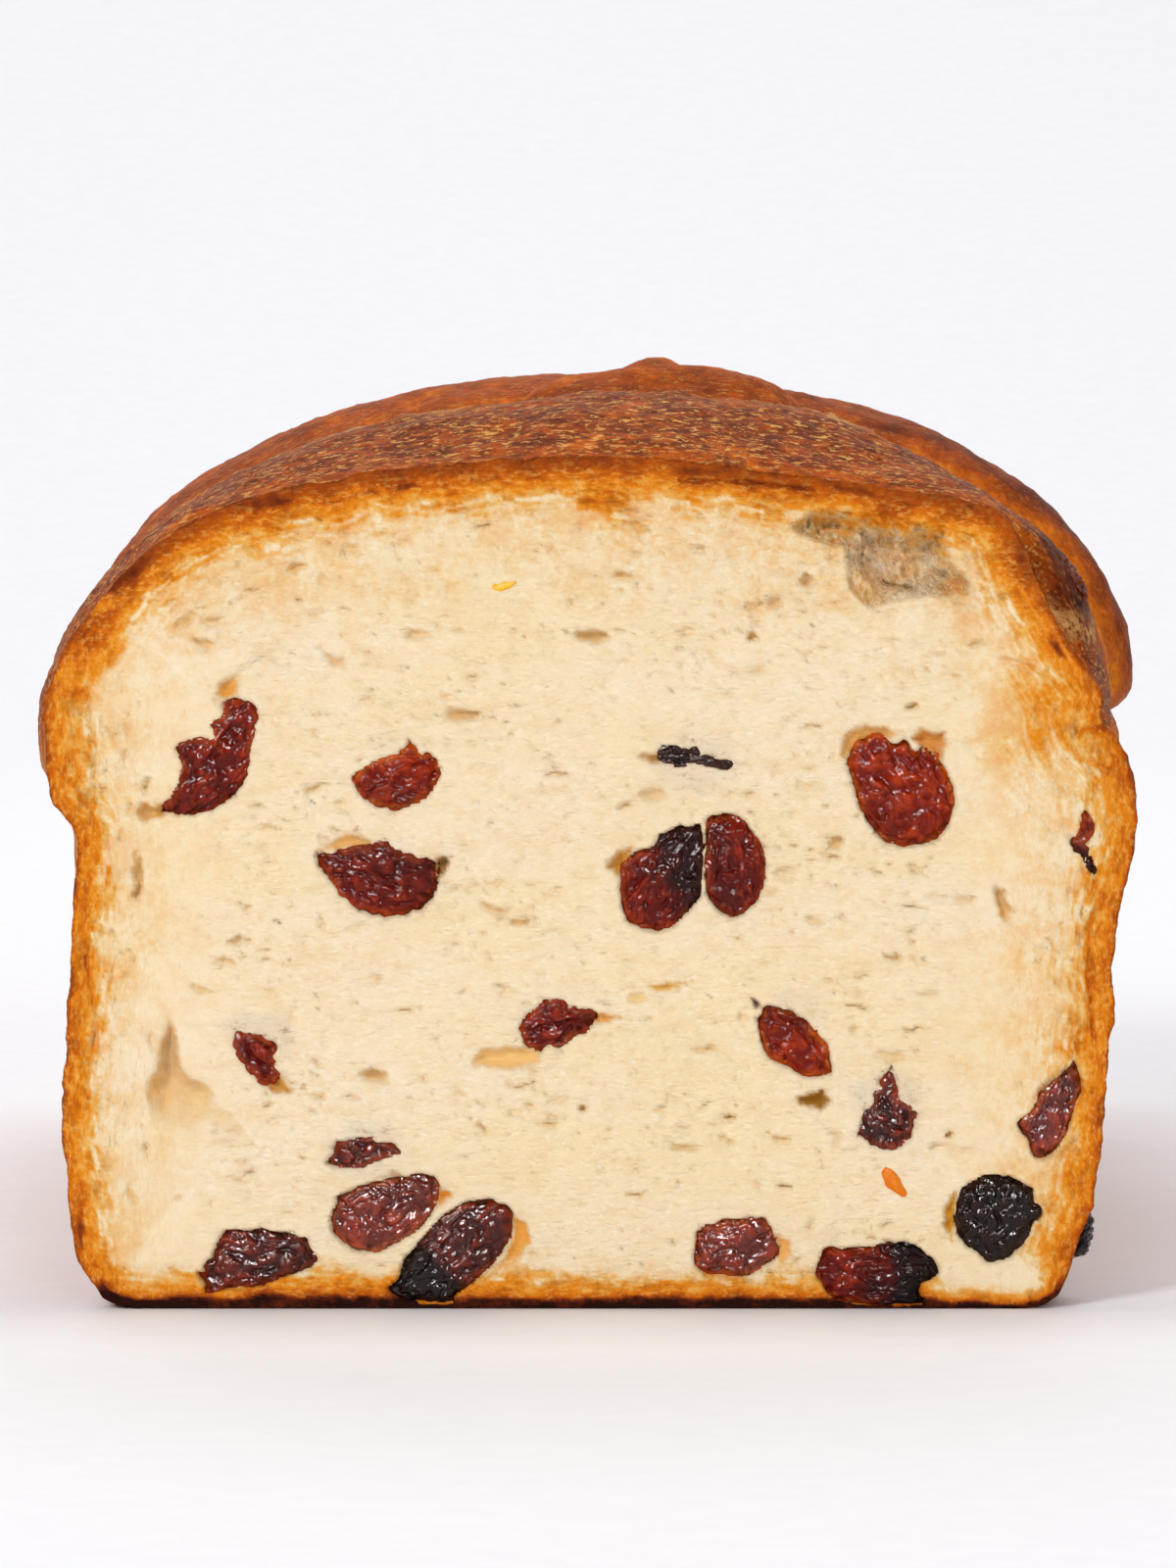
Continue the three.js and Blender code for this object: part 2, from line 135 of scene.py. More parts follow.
paper, paper_tree, paper_shader = new_material("paper")
paper_grain = shader_node(paper_tree, "ShaderNodeTexNoise", {"Scale": 900.0, "Detail": 2.0})
paper_tint = shader_node(paper_tree, "ShaderNodeValToRGB", {"Fac": paper_grain.outputs["Fac"]})
paper_tint.color_ramp.elements[0].color = colour(232, 231, 234)
paper_tint.color_ramp.elements[1].color = colour(238, 237, 240)
paper_tree.links.new(paper_tint.outputs["Color"], paper_shader.inputs["Base Color"])
paper_shader.inputs["Roughness"].default_value = 0.7
sweep.data.materials.append(paper)


def soft_box(name, place, size, power, aim=(0, 0, 0.05)):
    """A rectangular lamp at a place, turned towards the loaf."""
    data = bpy.data.lights.new(name, "AREA")
    data.shape = "RECTANGLE"
    data.size, data.size_y = size
    data.energy = power
    lamp = bpy.data.objects.new(name, data)
    lamp.location = place
    lamp.rotation_euler = (Vector(aim) - Vector(place)).to_track_quat("-Z", "Y").to_euler()
    bpy.context.collection.objects.link(lamp)
    return lamp


soft_box("window_box", (-0.66, -1.05, 0.85), (0.32, 0.42), 9.7)
soft_box("front_box", (0.35, -1.55, 0.75), (0.4, 0.3), 2.6)
soft_box("right_box", (0.95, -0.75, 0.45), (0.3, 0.4), 1.9)
glint_box = soft_box("glint_box", (-0.20, -0.95, 0.50), (0.22, 0.22), 14)
glint_box.visible_diffuse = False       # it only glints on what is glossy
soft_box("back_box", (0.1, 0.75, 1.2), (1.6, 0.6), 5.5)
soft_box("backdrop_box", (0, 0.2, 1.9), (2.4, 0.8), 24, aim=(0, 1.5, 0.25))
room = bpy.data.worlds.new("room")
room.use_nodes = True
room.node_tree.nodes["Background"].inputs["Color"].default_value = (0.97, 0.97, 1.0, 1)
room.node_tree.nodes["Background"].inputs["Strength"].default_value = 0.16
bpy.context.scene.world = room

# ---- crust -------------------------------------------------------------------------------------
# The baked skin of the loaf: straight tin walls, a crown of risen lobes brushed with egg, and a
# flat base. It is one rolled sheet of fine mesh, from the cut edge to the far end, in the same
# form as the solid loaf, and behind the cut it is hollowed for the crumb to sit in.

AXIS_HEIGHT = 50.0                      # directions and radii are taken from this line, in mm
BASE_HALF_WIDTH = 54.5
RIM_HALF_WIDTH = 60.0
RIM_HEIGHT = 60.0
FLOOR_CORNER = 3.0
LOAF_LENGTH = 176.0
REAR_LEAN = 8.0
REAR_BULGE = 1.5
REAR_ROUND = {"up": 41, "side": 15, "down": 9}
CUT_REACH = 30.0                        # behind this depth the cut edge no longer tells

# The cut's edge from the lower right corner over the crown to the lower left, across and up: a
# fold of crust tucks in at the right shoulder, and a lip hangs over the rim on the left.
CUT_EDGE = [
    (51.5, -1), (53.5, 2.8), (55.4, 8.0), (57.2, 14.5), (58.1, 24), (58.8, 33), (59.2, 43),
    (60.9, 50.5), (61.4, 56.3), (60.8, 61.3), (59.1, 65.1), (57.3, 67.0), (57.1, 70.2),
    (53.6, 75.8), (50.4, 80.3), (48.8, 84.6), (46.8, 88.9), (42.6, 91.3), (32.6, 92.9),
    (21.6, 94.3), (9, 96.0), (-4.7, 96.2), (-14.7, 95.4), (-25.2, 94.4), (-33, 92.9),
    (-39, 91.4), (-44.6, 89.0), (-50.0, 85.4), (-54.9, 80.4), (-58.9, 74.8), (-61.1, 69.6),
    (-61.4, 64.8), (-61.0, 61.0), (-60.3, 57.4), (-58.2, 54.6), (-57.9, 51.2), (-58.6, 42),
    (-59.2, 31.9), (-59.8, 23), (-59.2, 13.5), (-58.2, 6.4), (-56.3, 2.3), (-53.4, -1),
]

# Lobes of risen dough, each right across the loaf: the depth of its crest, half its length, its
# height and how far it is askew, then half its width, the level of its widest place and the
# fullness of its shoulder on each side. Strands bulge up through the creases between them.
LOBE_UNDERSIDE = 10.5
LOBE_SINK = 9.0
LOBE_FLANK_SINK = 0.35                  # share of the sink that is left at the flanks
LOBE_CREST_FLATNESS = 2.6
LOBE_SQUARENESS = 2.15
LOBES = [
    {"crest": 30, "reach": 23, "top": 103.2, "skew": 4,
     "left": (64.6, 63, 2.1), "right": (60.5, 66, 2.3)},
    {"crest": 82, "reach": 31, "top": 105.2, "skew": -7,
     "left": (66.2, 63, 2.15), "right": (67.2, 67.5, 2.3)},
    {"crest": 139, "reach": 31, "top": 103.4, "skew": 6,
     "left": (65.0, 64, 2.1), "right": (66.0, 66, 2.2)},
]
STRAND_SINK = 9.0
STRAND_REACH = 0.5                      # strands stay where the crown's direction is steeper
STRAND_FLATNESS = {"across": 3.2, "along": 2.6}
JOIN_SOFTNESS = {"lobe": 2.0, "strand": 1.5, "rim": 2.5}
STRANDS = [
    {"x": 8.5, "y": 54, "half": (23, 20), "top": 106.9},
    {"x": 7.6, "y": 52, "half": (6, 8), "top": 108.0},
    {"x": -9, "y": 110, "half": (20, 19), "top": 104.8},
]

DRAWS = np.random.default_rng(11)
SHUFFLE = DRAWS.permutation(256)
SLOPES = DRAWS.normal(size=(256, 3))
SLOPES /= np.linalg.norm(SLOPES, axis=1, keepdims=True)


def noise(points, scale, seed=0.0):
    """Smooth noise from about -1 to 1, with lumps of the given size, or of three sizes by axis."""
    places = points / np.asarray(scale, float) + seed
    cells = np.floor(places).astype(int)
    inside = places - cells
    fade = inside ** 3 * (inside * (inside * 6 - 15) + 10)
    total = np.zeros(len(points))
    for corner in itertools.product((0, 1), repeat=3):
        spot = (cells + corner) & 255
        pick = SHUFFLE[(SHUFFLE[(SHUFFLE[spot[:, 0]] + spot[:, 1]) & 255] + spot[:, 2]) & 255]
        weight = np.prod(np.where(corner, fade, 1 - fade), axis=1)
        total += weight * ((inside - corner) * SLOPES[pick]).sum(axis=1)
    return total * 1.6


def cloud(points, scale, octaves=3, seed=0.0):
    """Noise with finer and fainter noise on it."""
    scale = np.asarray(scale, float)
    return sum(noise(points, scale / 2 ** i, seed + 7.3 * i) / 2 ** i for i in range(octaves))


def ease(value, low, high):
    """0 below low, 1 above high and a smooth rise between."""
    share = np.clip((value - low) / (high - low), 0, 1)
    return share * share * (3 - 2 * share)


def smooth_max(a, b, soft):
    near = np.maximum(soft - np.abs(a - b), 0)
    return np.maximum(a, b) + near * near / (4 * soft)


def smooth_line(corners, steps):
    """A smooth line through corners, with so many steps between each two."""
    corners = np.asarray(corners, float)
    padded = np.vstack([2 * corners[0] - corners[1], corners, 2 * corners[-1] - corners[-2]])
    before, here, there, after = padded[:-3], padded[1:-2], padded[2:-1], padded[3:]
    line = []
    for share in np.arange(steps) / steps:
        line.append(0.5 * (2 * here + (there - before) * share
                           + (2 * before - 5 * here + 4 * there - after) * share ** 2
                           + (3 * here - before - 3 * there + after) * share ** 3))
    return np.stack(line, axis=1).reshape(-1, corners.shape[1])


edge_line = smooth_line(CUT_EDGE, 12)
edge_angles = np.arctan2(edge_line[:, 1] - AXIS_HEIGHT, edge_line[:, 0]) % (2 * math.pi)
edge_radii = np.hypot(edge_line[:, 0], edge_line[:, 1] - AXIS_HEIGHT)


def cut_radius(angles):
    return np.interp(angles, edge_angles, edge_radii, period=2 * math.pi)


def tin_radius(angles):
    slope = (RIM_HALF_WIDTH - BASE_HALF_WIDTH) / RIM_HEIGHT
    at_axis = BASE_HALF_WIDTH + slope * AXIS_HEIGHT
    wall = at_axis / (np.abs(np.cos(angles)) - slope * np.sin(angles))
    rim = np.full_like(wall, 999.0)
    up = np.sin(angles) > 0.01
    rim[up] = (RIM_HEIGHT - AXIS_HEIGHT) / np.sin(angles[up])
    return np.where(wall > 0, np.minimum(wall, rim), rim)


def lobe_profile(lobe, angles):
    """The outermost point of a lobe's section in each direction, or 0 where it has none."""
    radii = np.arange(84, 44, -0.1)[:, None]
    left = np.cos(angles) < 0
    wide, level, full = (np.where(left, lobe["left"][i], lobe["right"][i]) for i in range(3))
    up = AXIS_HEIGHT + radii * np.sin(angles) - level
    tall = np.where(up > 0, up / (lobe["top"] - level), -up / LOBE_UNDERSIDE)
    inside = np.abs(radii * np.cos(angles) / wide) ** full + tall ** LOBE_SQUARENESS < 1
    return np.where(inside.any(axis=0), radii[inside.argmax(axis=0), 0], 0)


def full_radius(angles, depths):
    """The loaf's form away from the cut: the tin's walls and the lobes that rose over them."""
    crown = np.zeros(depths.shape)
    for lobe in LOBES:
        profile = lobe_profile(lobe, angles)
        away = np.abs(depths - lobe["crest"] - lobe["skew"] * np.cos(angles)) / lobe["reach"]
        sink = LOBE_SINK * (LOBE_FLANK_SINK + (1 - LOBE_FLANK_SINK) * np.maximum(np.sin(angles), 0))
        sunk = np.where(profile > 0, profile - sink * away ** LOBE_CREST_FLATNESS, 0)
        crown = smooth_max(crown, sunk, JOIN_SOFTNESS["lobe"])
    rise = np.maximum(np.sin(angles), STRAND_REACH)
    for strand in STRANDS:
        radius = (strand["top"] - AXIS_HEIGHT) / rise
        across = np.abs(radius * np.cos(angles) - strand["x"]) / strand["half"][0]
        along = np.abs(depths - strand["y"]) / strand["half"][1]
        fall = across ** STRAND_FLATNESS["across"] + along ** STRAND_FLATNESS["along"]
        bulge = np.where(np.sin(angles) > STRAND_REACH, radius - STRAND_SINK * fall, 0)
        crown = smooth_max(crown, bulge, JOIN_SOFTNESS["strand"])
    return smooth_max(tin_radius(angles) + 0 * depths, crown, JOIN_SOFTNESS["rim"])


def loaf_radius(angles, depths):
    climb = np.sin(math.pi / 2 * np.clip(depths / CUT_REACH, 0, 1))
    full = full_radius(angles, np.maximum(depths, CUT_REACH))
    radius = cut_radius(angles) * (1 - climb) + full * climb
    sunk = np.maximum(-np.sin(angles), 0.05)
    floor = -smooth_max(-radius, -AXIS_HEIGHT / sunk, FLOOR_CORNER)
    return np.where(np.sin(angles) < -0.05, floor, radius)


def heights(angles, radii):
    return np.maximum(AXIS_HEIGHT + radii * np.sin(angles), 0)


def ring_points(angles, radii, depths):
    """Points in the given directions from the axis, none of them below the base."""
    return np.stack([radii * np.cos(angles), depths, heights(angles, radii)], axis=1)


def edge_raggedness(points):
    """How far the cut edge of the crust strays in and out, in mm."""
    return 0.34 * noise(points, 4.5) + 0.22 * noise(points, 1.6, 3.1) + 0.12 * noise(points, 0.8, 5.7)


def grid_faces(rows, columns, closed):
    """Quads between rows of points, each row joined to the next, and round if closed."""
    across = columns if closed else columns - 1
    first = (np.arange(rows - 1)[:, None] * columns + np.arange(across)).ravel()
    right = (np.arange(rows - 1)[:, None] * columns + (np.arange(across) + 1) % columns).ravel()
    return np.stack([first, right, right + columns, first + columns], axis=1)


def to_metres(points):
    """Places in mm from the loaf's axis and its cut face, as places in the frame."""
    return points * MM + (MIDDLE_X, CUT_Y, 0)


def to_mm(points):
    return (points - (MIDDLE_X, CUT_Y, 0)) / MM


def new_piece(name, points, faces):
    """A mesh piece from points in mm."""
    mesh = bpy.data.meshes.new(name)
    mesh.from_pydata(to_metres(points).tolist(), [], [list(map(int, face)) for face in faces])
    piece = bpy.data.objects.new(name, mesh)
    bpy.context.collection.objects.link(piece)
    mesh.polygons.foreach_set("use_smooth", [True] * len(mesh.polygons))
    return piece


def paint(piece, name, values):
    """Keeps one number for each vertex, for the material to read."""
    kept = piece.data.attributes.new(name, "FLOAT", "POINT")
    kept.data.foreach_set("value", np.asarray(values, np.float32))


def close_shell(piece):
    """Shuts a piece's open ends and turns its faces outwards."""
    bpy.context.view_layer.objects.active = piece
    piece.select_set(True)
    bpy.ops.object.mode_set(mode="EDIT")
    bpy.ops.mesh.select_all(action="SELECT")
    bpy.ops.mesh.fill_holes(sides=0)
    bpy.ops.mesh.normals_make_consistent(inside=False)
    bpy.ops.object.mode_set(mode="OBJECT")
    piece.select_set(False)


CRUST_COLUMNS = 620
CRUST_ROWS = 112
ROUND_ROWS = 16
END_WALL_ROWS = 20
FIRST_ROW = 0.35                        # from the cut to the next row
ROW_RUN = 135                           # from the cut to where the far end rounds over
ROW_SPREAD = 0.35                       # how much the rows draw apart towards the far end
BASE_SPARSENESS = 0.4                   # columns on the flat base, for each one elsewhere
HOLLOW_DEPTH = 7.5
HOLLOW_TAPER = 2.4                      # how far the hollow draws in from its edge to its bottom
CUT_LIP = 0.3                           # thickness of the crust's edge at the cut
CUT_LIP_DEPTH = 0.6
RIM_FADE = (58, 68)                     # heights between which the tin's wall turns into the crown
CREASE_WIDTH = 5.5
CREASE_DEPTH = 2.4
LEATHER_HEIGHT = 0.26
WRINKLE_HEIGHT = 0.22
FLANK_SINK = 1.3
RIDGE_HEIGHT = 0.5                      # along the first lobe's crest
DIMPLE_DEPTH = 0.5                      # in the walls
SHOULDER_RAISIN = 22                    # lies in the right shoulder, and the crust swells over it
SHOULDER_SPOT = (52.0, 9.0, 81.5)       # across, in from the cut, and up
SHOULDER_SWELL = 2.6
SKIN_RAISINS = (23, 24, 25, 26, 27)     # in the skin of the walls, the crown and the far end
RAISIN_COLLAR = 0.5                     # how far the dough rose round each

fine_angles = np.linspace(0, 2 * math.pi, 7200, endpoint=False)
fine_radii = (cut_radius(fine_angles) + full_radius(fine_angles, fine_angles * 0 + 82)) / 2
fine_steps = np.hypot(fine_radii, np.gradient(fine_radii, fine_angles))
fine_steps *= np.where(np.sin(fine_angles) < -0.68, BASE_SPARSENESS, 1)
walked = np.cumsum(fine_steps) / fine_steps.sum()
ring_angles = np.interp((np.arange(CRUST_COLUMNS) + 0.5) / CRUST_COLUMNS, walked, fine_angles)

# the far end rounds over widely at the crown and tightly at the walls and the base
upwards = np.maximum(np.sin(ring_angles), 0) ** 1.6
downwards = np.maximum(-np.sin(ring_angles), 0)
rounding = REAR_ROUND["side"] + (REAR_ROUND["up"] - REAR_ROUND["side"]) * upwards
rounding = rounding * (1 - downwards) + REAR_ROUND["down"] * downwards


def rear_end(height):
    return LOAF_LENGTH - REAR_BULGE - REAR_LEAN * np.maximum(1 - height / RIM_HEIGHT, 0)


rear_start = LOAF_LENGTH - rounding
rim_radii = loaf_radius(ring_angles, rear_start)
straight = rear_end(heights(ring_angles, rim_radii)) - rounding

rows = []
growth = np.linspace(0, 1, CRUST_ROWS)
shares = FIRST_ROW / ROW_RUN * np.arange(CRUST_ROWS) * (1 - growth) + growth * growth ** ROW_SPREAD
for share in shares / shares[-1]:
    depth = straight * share
    rows.append(ring_points(ring_angles, loaf_radius(ring_angles, depth), depth))
last_radius = loaf_radius(ring_angles, straight)
for swing in np.linspace(0, math.pi / 2, ROUND_ROWS + 1)[1:]:
    radius = last_radius - rounding * (1 - math.cos(swing))
    depth = straight + (rear_end(heights(ring_angles, radius)) - straight) * math.sin(swing)
    rows.append(ring_points(ring_angles, radius, depth))
for share in np.linspace(1, 0.03, END_WALL_ROWS + 1)[1:]:
    radius = (last_radius - rounding) * share
    depth = rear_end(heights(ring_angles, radius)) + REAR_BULGE * (1 - share * share)
    rows.append(ring_points(ring_angles, radius, depth))
skin = np.stack(rows)

# outward directions from the sheet's own slopes
around = np.roll(skin, -1, axis=1) - np.roll(skin, 1, axis=1)
outward = np.cross(np.gradient(skin, axis=0).reshape(-1, 3), around.reshape(-1, 3))
outward /= np.linalg.norm(outward, axis=1, keepdims=True) + 1e-9
flat_skin = skin.reshape(-1, 3)
centre_out = flat_skin * (1, 0, 1) - (0, 0, AXIS_HEIGHT)
if (outward * centre_out).sum() < 0:
    outward = -outward

from_cut = flat_skin[:, 1].copy()
bearing = np.tile(ring_angles, len(skin))
on_crown = ease(flat_skin[:, 2], *RIM_FADE)
on_base = ease(-outward[:, 2], 0.75, 0.95) * ease(3 - flat_skin[:, 2], 0, 3)
crease_depths = [(a["crest"] + b["crest"]) / 2 + (a["skew"] + b["skew"]) / 2 * np.cos(bearing)
                 for a, b in zip(LOBES, LOBES[1:])]
crease = sum(np.exp(-((from_cut - depth) / CREASE_WIDTH) ** 2) for depth in crease_depths) * on_crown
crest_gap = from_cut - LOBES[0]["crest"] - LOBES[0]["skew"] * np.cos(bearing)
first_lobe = on_crown * (1 - ease(crest_gap, 1, 15))

# broad swells, then leathery skin and fine wrinkles on the crown, sunk along the creases
relief = 0.50 * cloud(flat_skin, 17, 2) + 0.24 * cloud(flat_skin, 5.5, 2, 2.0)
leather = 1 - np.abs(cloud(flat_skin, (3.6, 2.0, 3.6), 3, 4.0))
wrinkles = 1 - np.abs(noise(flat_skin, (6.0, 1.1, 2.2), 14.0) * 1.6)
relief += on_crown * (LEATHER_HEIGHT * leather + 0.10 * noise(flat_skin, 1.3, 6.0))
relief += first_lobe * WRINKLE_HEIGHT * np.clip(wrinkles, 0, 1) * ease(from_cut, 1, 6)
relief -= CREASE_DEPTH * crease

# the first lobe's flanks sink a little, and a ragged ridge runs along its crest
off_top = np.cos(bearing)
flanks = np.maximum(ease(-off_top, -0.05, 0.2), 1.2 * ease(off_top, 0.5, 0.75))
relief -= FLANK_SINK * np.exp(-(crest_gap / 15) ** 2) * on_crown * flanks
ridge = RIDGE_HEIGHT * np.exp(-(crest_gap / 2.2) ** 2)
relief += ridge * on_crown * (0.6 + 0.7 * noise(flat_skin, 2.6, 16.0))

# the swelling in the shoulder, and a low collar of dough round each raisin in the skin
aside = np.hypot(flat_skin[:, 0] - SHOULDER_SPOT[0], flat_skin[:, 2] - SHOULDER_SPOT[2])
by_shoulder = np.hypot(aside, (from_cut - SHOULDER_SPOT[1]) * 0.7)
relief += SHOULDER_SWELL * (1 - ease(by_shoulder, 1.5, 12))
by_raisin = np.full(len(flat_skin), 99.0)
for number in SKIN_RAISINS:
    centre = to_mm(np.mean(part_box(f"raisin_{number:02d}"), axis=0))
    by_raisin = np.minimum(by_raisin, np.linalg.norm(flat_skin - centre, axis=1))
dimples = np.minimum(noise(flat_skin, 3.2, 8.0) + 0.25, 0)
relief += (1 - on_crown) * (DIMPLE_DEPTH * dimples + 0.10 * noise(flat_skin, 1.4, 9.0))
relief += RAISIN_COLLAR * np.exp(-((by_raisin - 6.5) / 2.0) ** 2) - 0.5 * (1 - ease(by_raisin, 2.5, 5))

# the base stays flat, and at the cut the relief gives way to the ragged edge
relief = relief * (1 - on_base)
near_cut = 1 - ease(from_cut, 0.0, 3.0)
relief = relief * (1 - near_cut) + edge_raggedness(flat_skin * (1, 0, 1)) * near_cut * (1 - on_base)
outward[:, 1] *= 1 - near_cut
flat_skin = flat_skin + outward * relief[:, None]
flat_skin[:, 2] = np.maximum(flat_skin[:, 2], 0)
flat_skin[from_cut <= 0, 1] = 0
skin = flat_skin.reshape(skin.shape)


def out_from_axis(points):
    """Directions from the loaf's axis straight out to points, one unit long."""
    out = points * (1, 0, 1) - (0, 0, AXIS_HEIGHT)
    return out / np.linalg.norm(out, axis=1, keepdims=True)


# the hollow behind the cut, row by row from the cut's edge to near the axis
edge_ring = skin[0]
outwards = out_from_axis(edge_ring)
hollow = [edge_ring - outwards * CUT_LIP + (0, CUT_LIP_DEPTH, 0)]
hollow.append(edge_ring - outwards * HOLLOW_TAPER + (0, HOLLOW_DEPTH, 0))
for share in (0.6, 0.05):
    hollow.append((hollow[1] - (0, 0, AXIS_HEIGHT)) * (share, 1, share) + (0, 0, AXIS_HEIGHT))
all_rows = np.concatenate([np.stack(hollow[::-1]), skin])
crust_points = all_rows.reshape(-1, 3)
crust = new_piece("crust", crust_points, grid_faces(len(all_rows), CRUST_COLUMNS, True))
close_shell(crust)

# how far each place browned: dark crests, golden creases where the dough tore late, and an even
# gold where the tin held the walls
facing_up = np.clip(outward[:, 2], 0, 1)
crown_browned = 0.70 - 0.07 * ease(crest_gap, 2, 12) - 0.30 * np.minimum(crease * 1.25, 1)
crown_browned -= 0.10 * (1 - ease(from_cut, 1.5, 10)) - 0.06 * noise(flat_skin, (9, 5, 9), 71.0)
crown_browned += 0.24 * (1 - ease(by_shoulder + 1.6 * noise(flat_skin, 2.6, 73.0), 4.5, 8.5))
crown_browned -= 0.10 * (1 - ease(facing_up, 0.0, 0.45)) * (off_top < 0)
crown_browned += 0.15 * ease(off_top + 0.12 * noise(flat_skin, 9, 75.0), 0.25, 0.8) * ease(from_cut, 38, 66)
wall_browned = 0.40 + 0.10 * ease(14 - flat_skin[:, 2], 0, 14) + 0.28 * on_base
wall_browned += 0.14 * (1 - ease(by_raisin, 3.5, 7)) + 0.12 * cloud(flat_skin, 24, 3, 31.0)
browned = wall_browned * (1 - on_crown) + crown_browned * on_crown
browned += 0.06 * cloud(flat_skin, 12, 3, 12.0)
browned += 0.09 * cloud(flat_skin, (3.6, 2.6, 3.6), 2, 19.0) * on_crown

# where the egg wash crackled into flecks, most on the first lobe's front, and where it flakes
most_flecked = on_crown * (1 - ease(crest_gap + 6 * noise(flat_skin, 6, 81.0), -14, 14))
flecked = most_flecked * (0.7 + 0.3 * ease(from_cut, 0.5, 5.0)) + (on_crown - most_flecked) * 0.30
flecked *= 0.3 + 0.7 * ease(by_shoulder, 5, 8)
flecked *= 1 - 0.45 * ease(off_top + 0.15 * noise(flat_skin, 7, 79.0), 0.45, 0.8) * ease(from_cut, 16, 32)
flaked = np.exp(-((crest_gap + 0.5) / 2.4) ** 2) * ease(flat_skin[:, 2], 72, 84)
flaked *= np.maximum(ease(off_top, 0.25, 0.55), 0.6 * ease(-off_top, 0.0, 0.25))
flaked *= 0.75 + 0.5 * noise(flat_skin, 3.0, 77.0)
flaked += 0.8 * np.exp(-((by_shoulder - 7.0) / 1.2) ** 2) * on_crown * ease(82 - flat_skin[:, 2], 0, 4)
hollow_height = crust_points[:len(hollow) * CRUST_COLUMNS, 2]
hollow_browned = 0.3 + 0.65 * ease(3.5 - hollow_height, 0, 1)
paint(crust, "browned", np.concatenate([hollow_browned, browned]))
tinned = (1 - on_crown) * (1 - on_base)
for layer_name, values in (("flecked", flecked), ("flaked", flaked), ("tinned", tinned)):
    paint(crust, layer_name, np.concatenate([hollow_height * 0, values]))

BAKED_STOPS = [
    (0.00, (244, 222, 182)), (0.12, (236, 182, 98)), (0.26, (230, 139, 26)), (0.42, (208, 106, 12)),
    (0.56, (174, 78, 10)), (0.70, (140, 60, 14)), (0.84, (104, 40, 12)), (1.00, (40, 12, 5)),
]


def layer(name):
    """A number kept on the mesh, read in the tree in hand, as all of these helpers work in it."""
    return shader_node(tree, "ShaderNodeAttribute", attribute_name=name).outputs["Fac"]


def object_place():
    return shader_node(tree, "ShaderNodeTexCoord").outputs["Object"]


def drawn_out(place, scale):
    """Places squeezed along an axis, so that a pattern on them comes out longer along it."""
    return shader_node(tree, "ShaderNodeMapping", {"Vector": place, "Scale": scale}).outputs[0]


def speckle(place, scale, detail=3.0, roughness=0.6):
    return shader_node(tree, "ShaderNodeTexNoise", {"Vector": place, "Scale": scale, "Detail": detail,
                                                    "Roughness": roughness}).outputs["Fac"]


def reckoned(operation, *values, **fields):
    """The result of one step of arithmetic on values and other nodes' outputs."""
    sockets = dict(enumerate(values))
    return shader_node(tree, "ShaderNodeMath", sockets, operation=operation, **fields).outputs[0]


def times(first, second):
    return reckoned("MULTIPLY", first, second)


def ranged(value, low, high, to_low=0.0, to_high=1.0):
    """A value stretched so that low to high becomes to_low to to_high."""
    return shader_node(tree, "ShaderNodeMapRange", {"Value": value, "From Min": low, "From Max": high,
                                                    "To Min": to_low, "To Max": to_high}).outputs[0]


def mixed(factor, first, second):
    """Two colours mixed by a factor."""
    sockets = {"Factor": factor, "A": first, "B": second}
    return shader_node(tree, "ShaderNodeMix", sockets, data_type="RGBA").outputs["Result"]


def bumped(height, strength, distance, under=None):
    """Normals of fine relief, on top of those of coarser relief if there is one under it."""
    sockets = {"Height": height, "Strength": strength, "Distance": distance}
    if under is not None:
        sockets["Normal"] = under
    return shader_node(tree, "ShaderNodeBump", sockets).outputs[0]


def finish_look(shader, base_colour, normal, values):
    """Joins a material's colour and relief to its shader, and sets the shader's other values."""
    tree.links.new(base_colour, shader.inputs["Base Color"])
    tree.links.new(normal, shader.inputs["Normal"])
    for name, value in values.items():
        shader.inputs[name].default_value = value


def new_group(name, inputs, outputs):
    """A node group that materials share, with its input sockets and its output node."""
    made = bpy.data.node_groups.new(name, "ShaderNodeTree")
    for in_out, sockets in (("INPUT", inputs), ("OUTPUT", outputs)):
        for socket_name, kind in sockets.items():
            made.interface.new_socket(socket_name, in_out=in_out, socket_type=f"NodeSocket{kind}")
    return made, made.nodes.new("NodeGroupInput").outputs, made.nodes.new("NodeGroupOutput")


# shared by crust and crumb: dough turns from cream over orange to dark brown as it bakes
tree, given, group_out = new_group("browning", {"Browned": "Float", "Mottle": "Float"}, {"Color": "Color"})
browning = tree
place_in = object_place()
mottle = reckoned("ADD", speckle(place_in, 260.0, 4.0, 0.5), speckle(place_in, 1100.0, 4.0, 0.7))
mottle = times(reckoned("SUBTRACT", mottle, 1.0), given["Mottle"])
baking = reckoned("ADD", mottle, given["Browned"], use_clamp=True)
baked = shader_node(tree, "ShaderNodeValToRGB", {"Fac": baking})
stops = baked.color_ramp.elements
while len(stops) < len(BAKED_STOPS):
    stops.new(0.5)
for stop, (place, tint) in zip(stops, BAKED_STOPS):
    stop.position = place
    stop.color = colour(*tint)
tree.links.new(baked.outputs["Color"], group_out.inputs["Color"])

crust_look, tree, shader = new_material("egg_washed_crust")
place_here = object_place()
baked_here = shader_node(tree, "ShaderNodeGroup", node_tree=browning)
tree.links.new(layer("browned"), baked_here.inputs["Browned"])
baked_here.inputs["Mottle"].default_value = 0.5
# the tin kept its walls matt and golden, with fine pale pores
tin_pores = ranged(speckle(place_here, 900.0, 4.0, 0.7), 0.42, 0.62)
golden = mixed(tin_pores, colour(184, 122, 62), colour(214, 162, 100))
skin_colour = mixed(times(layer("tinned"), 0.5), baked_here.outputs["Color"], golden)
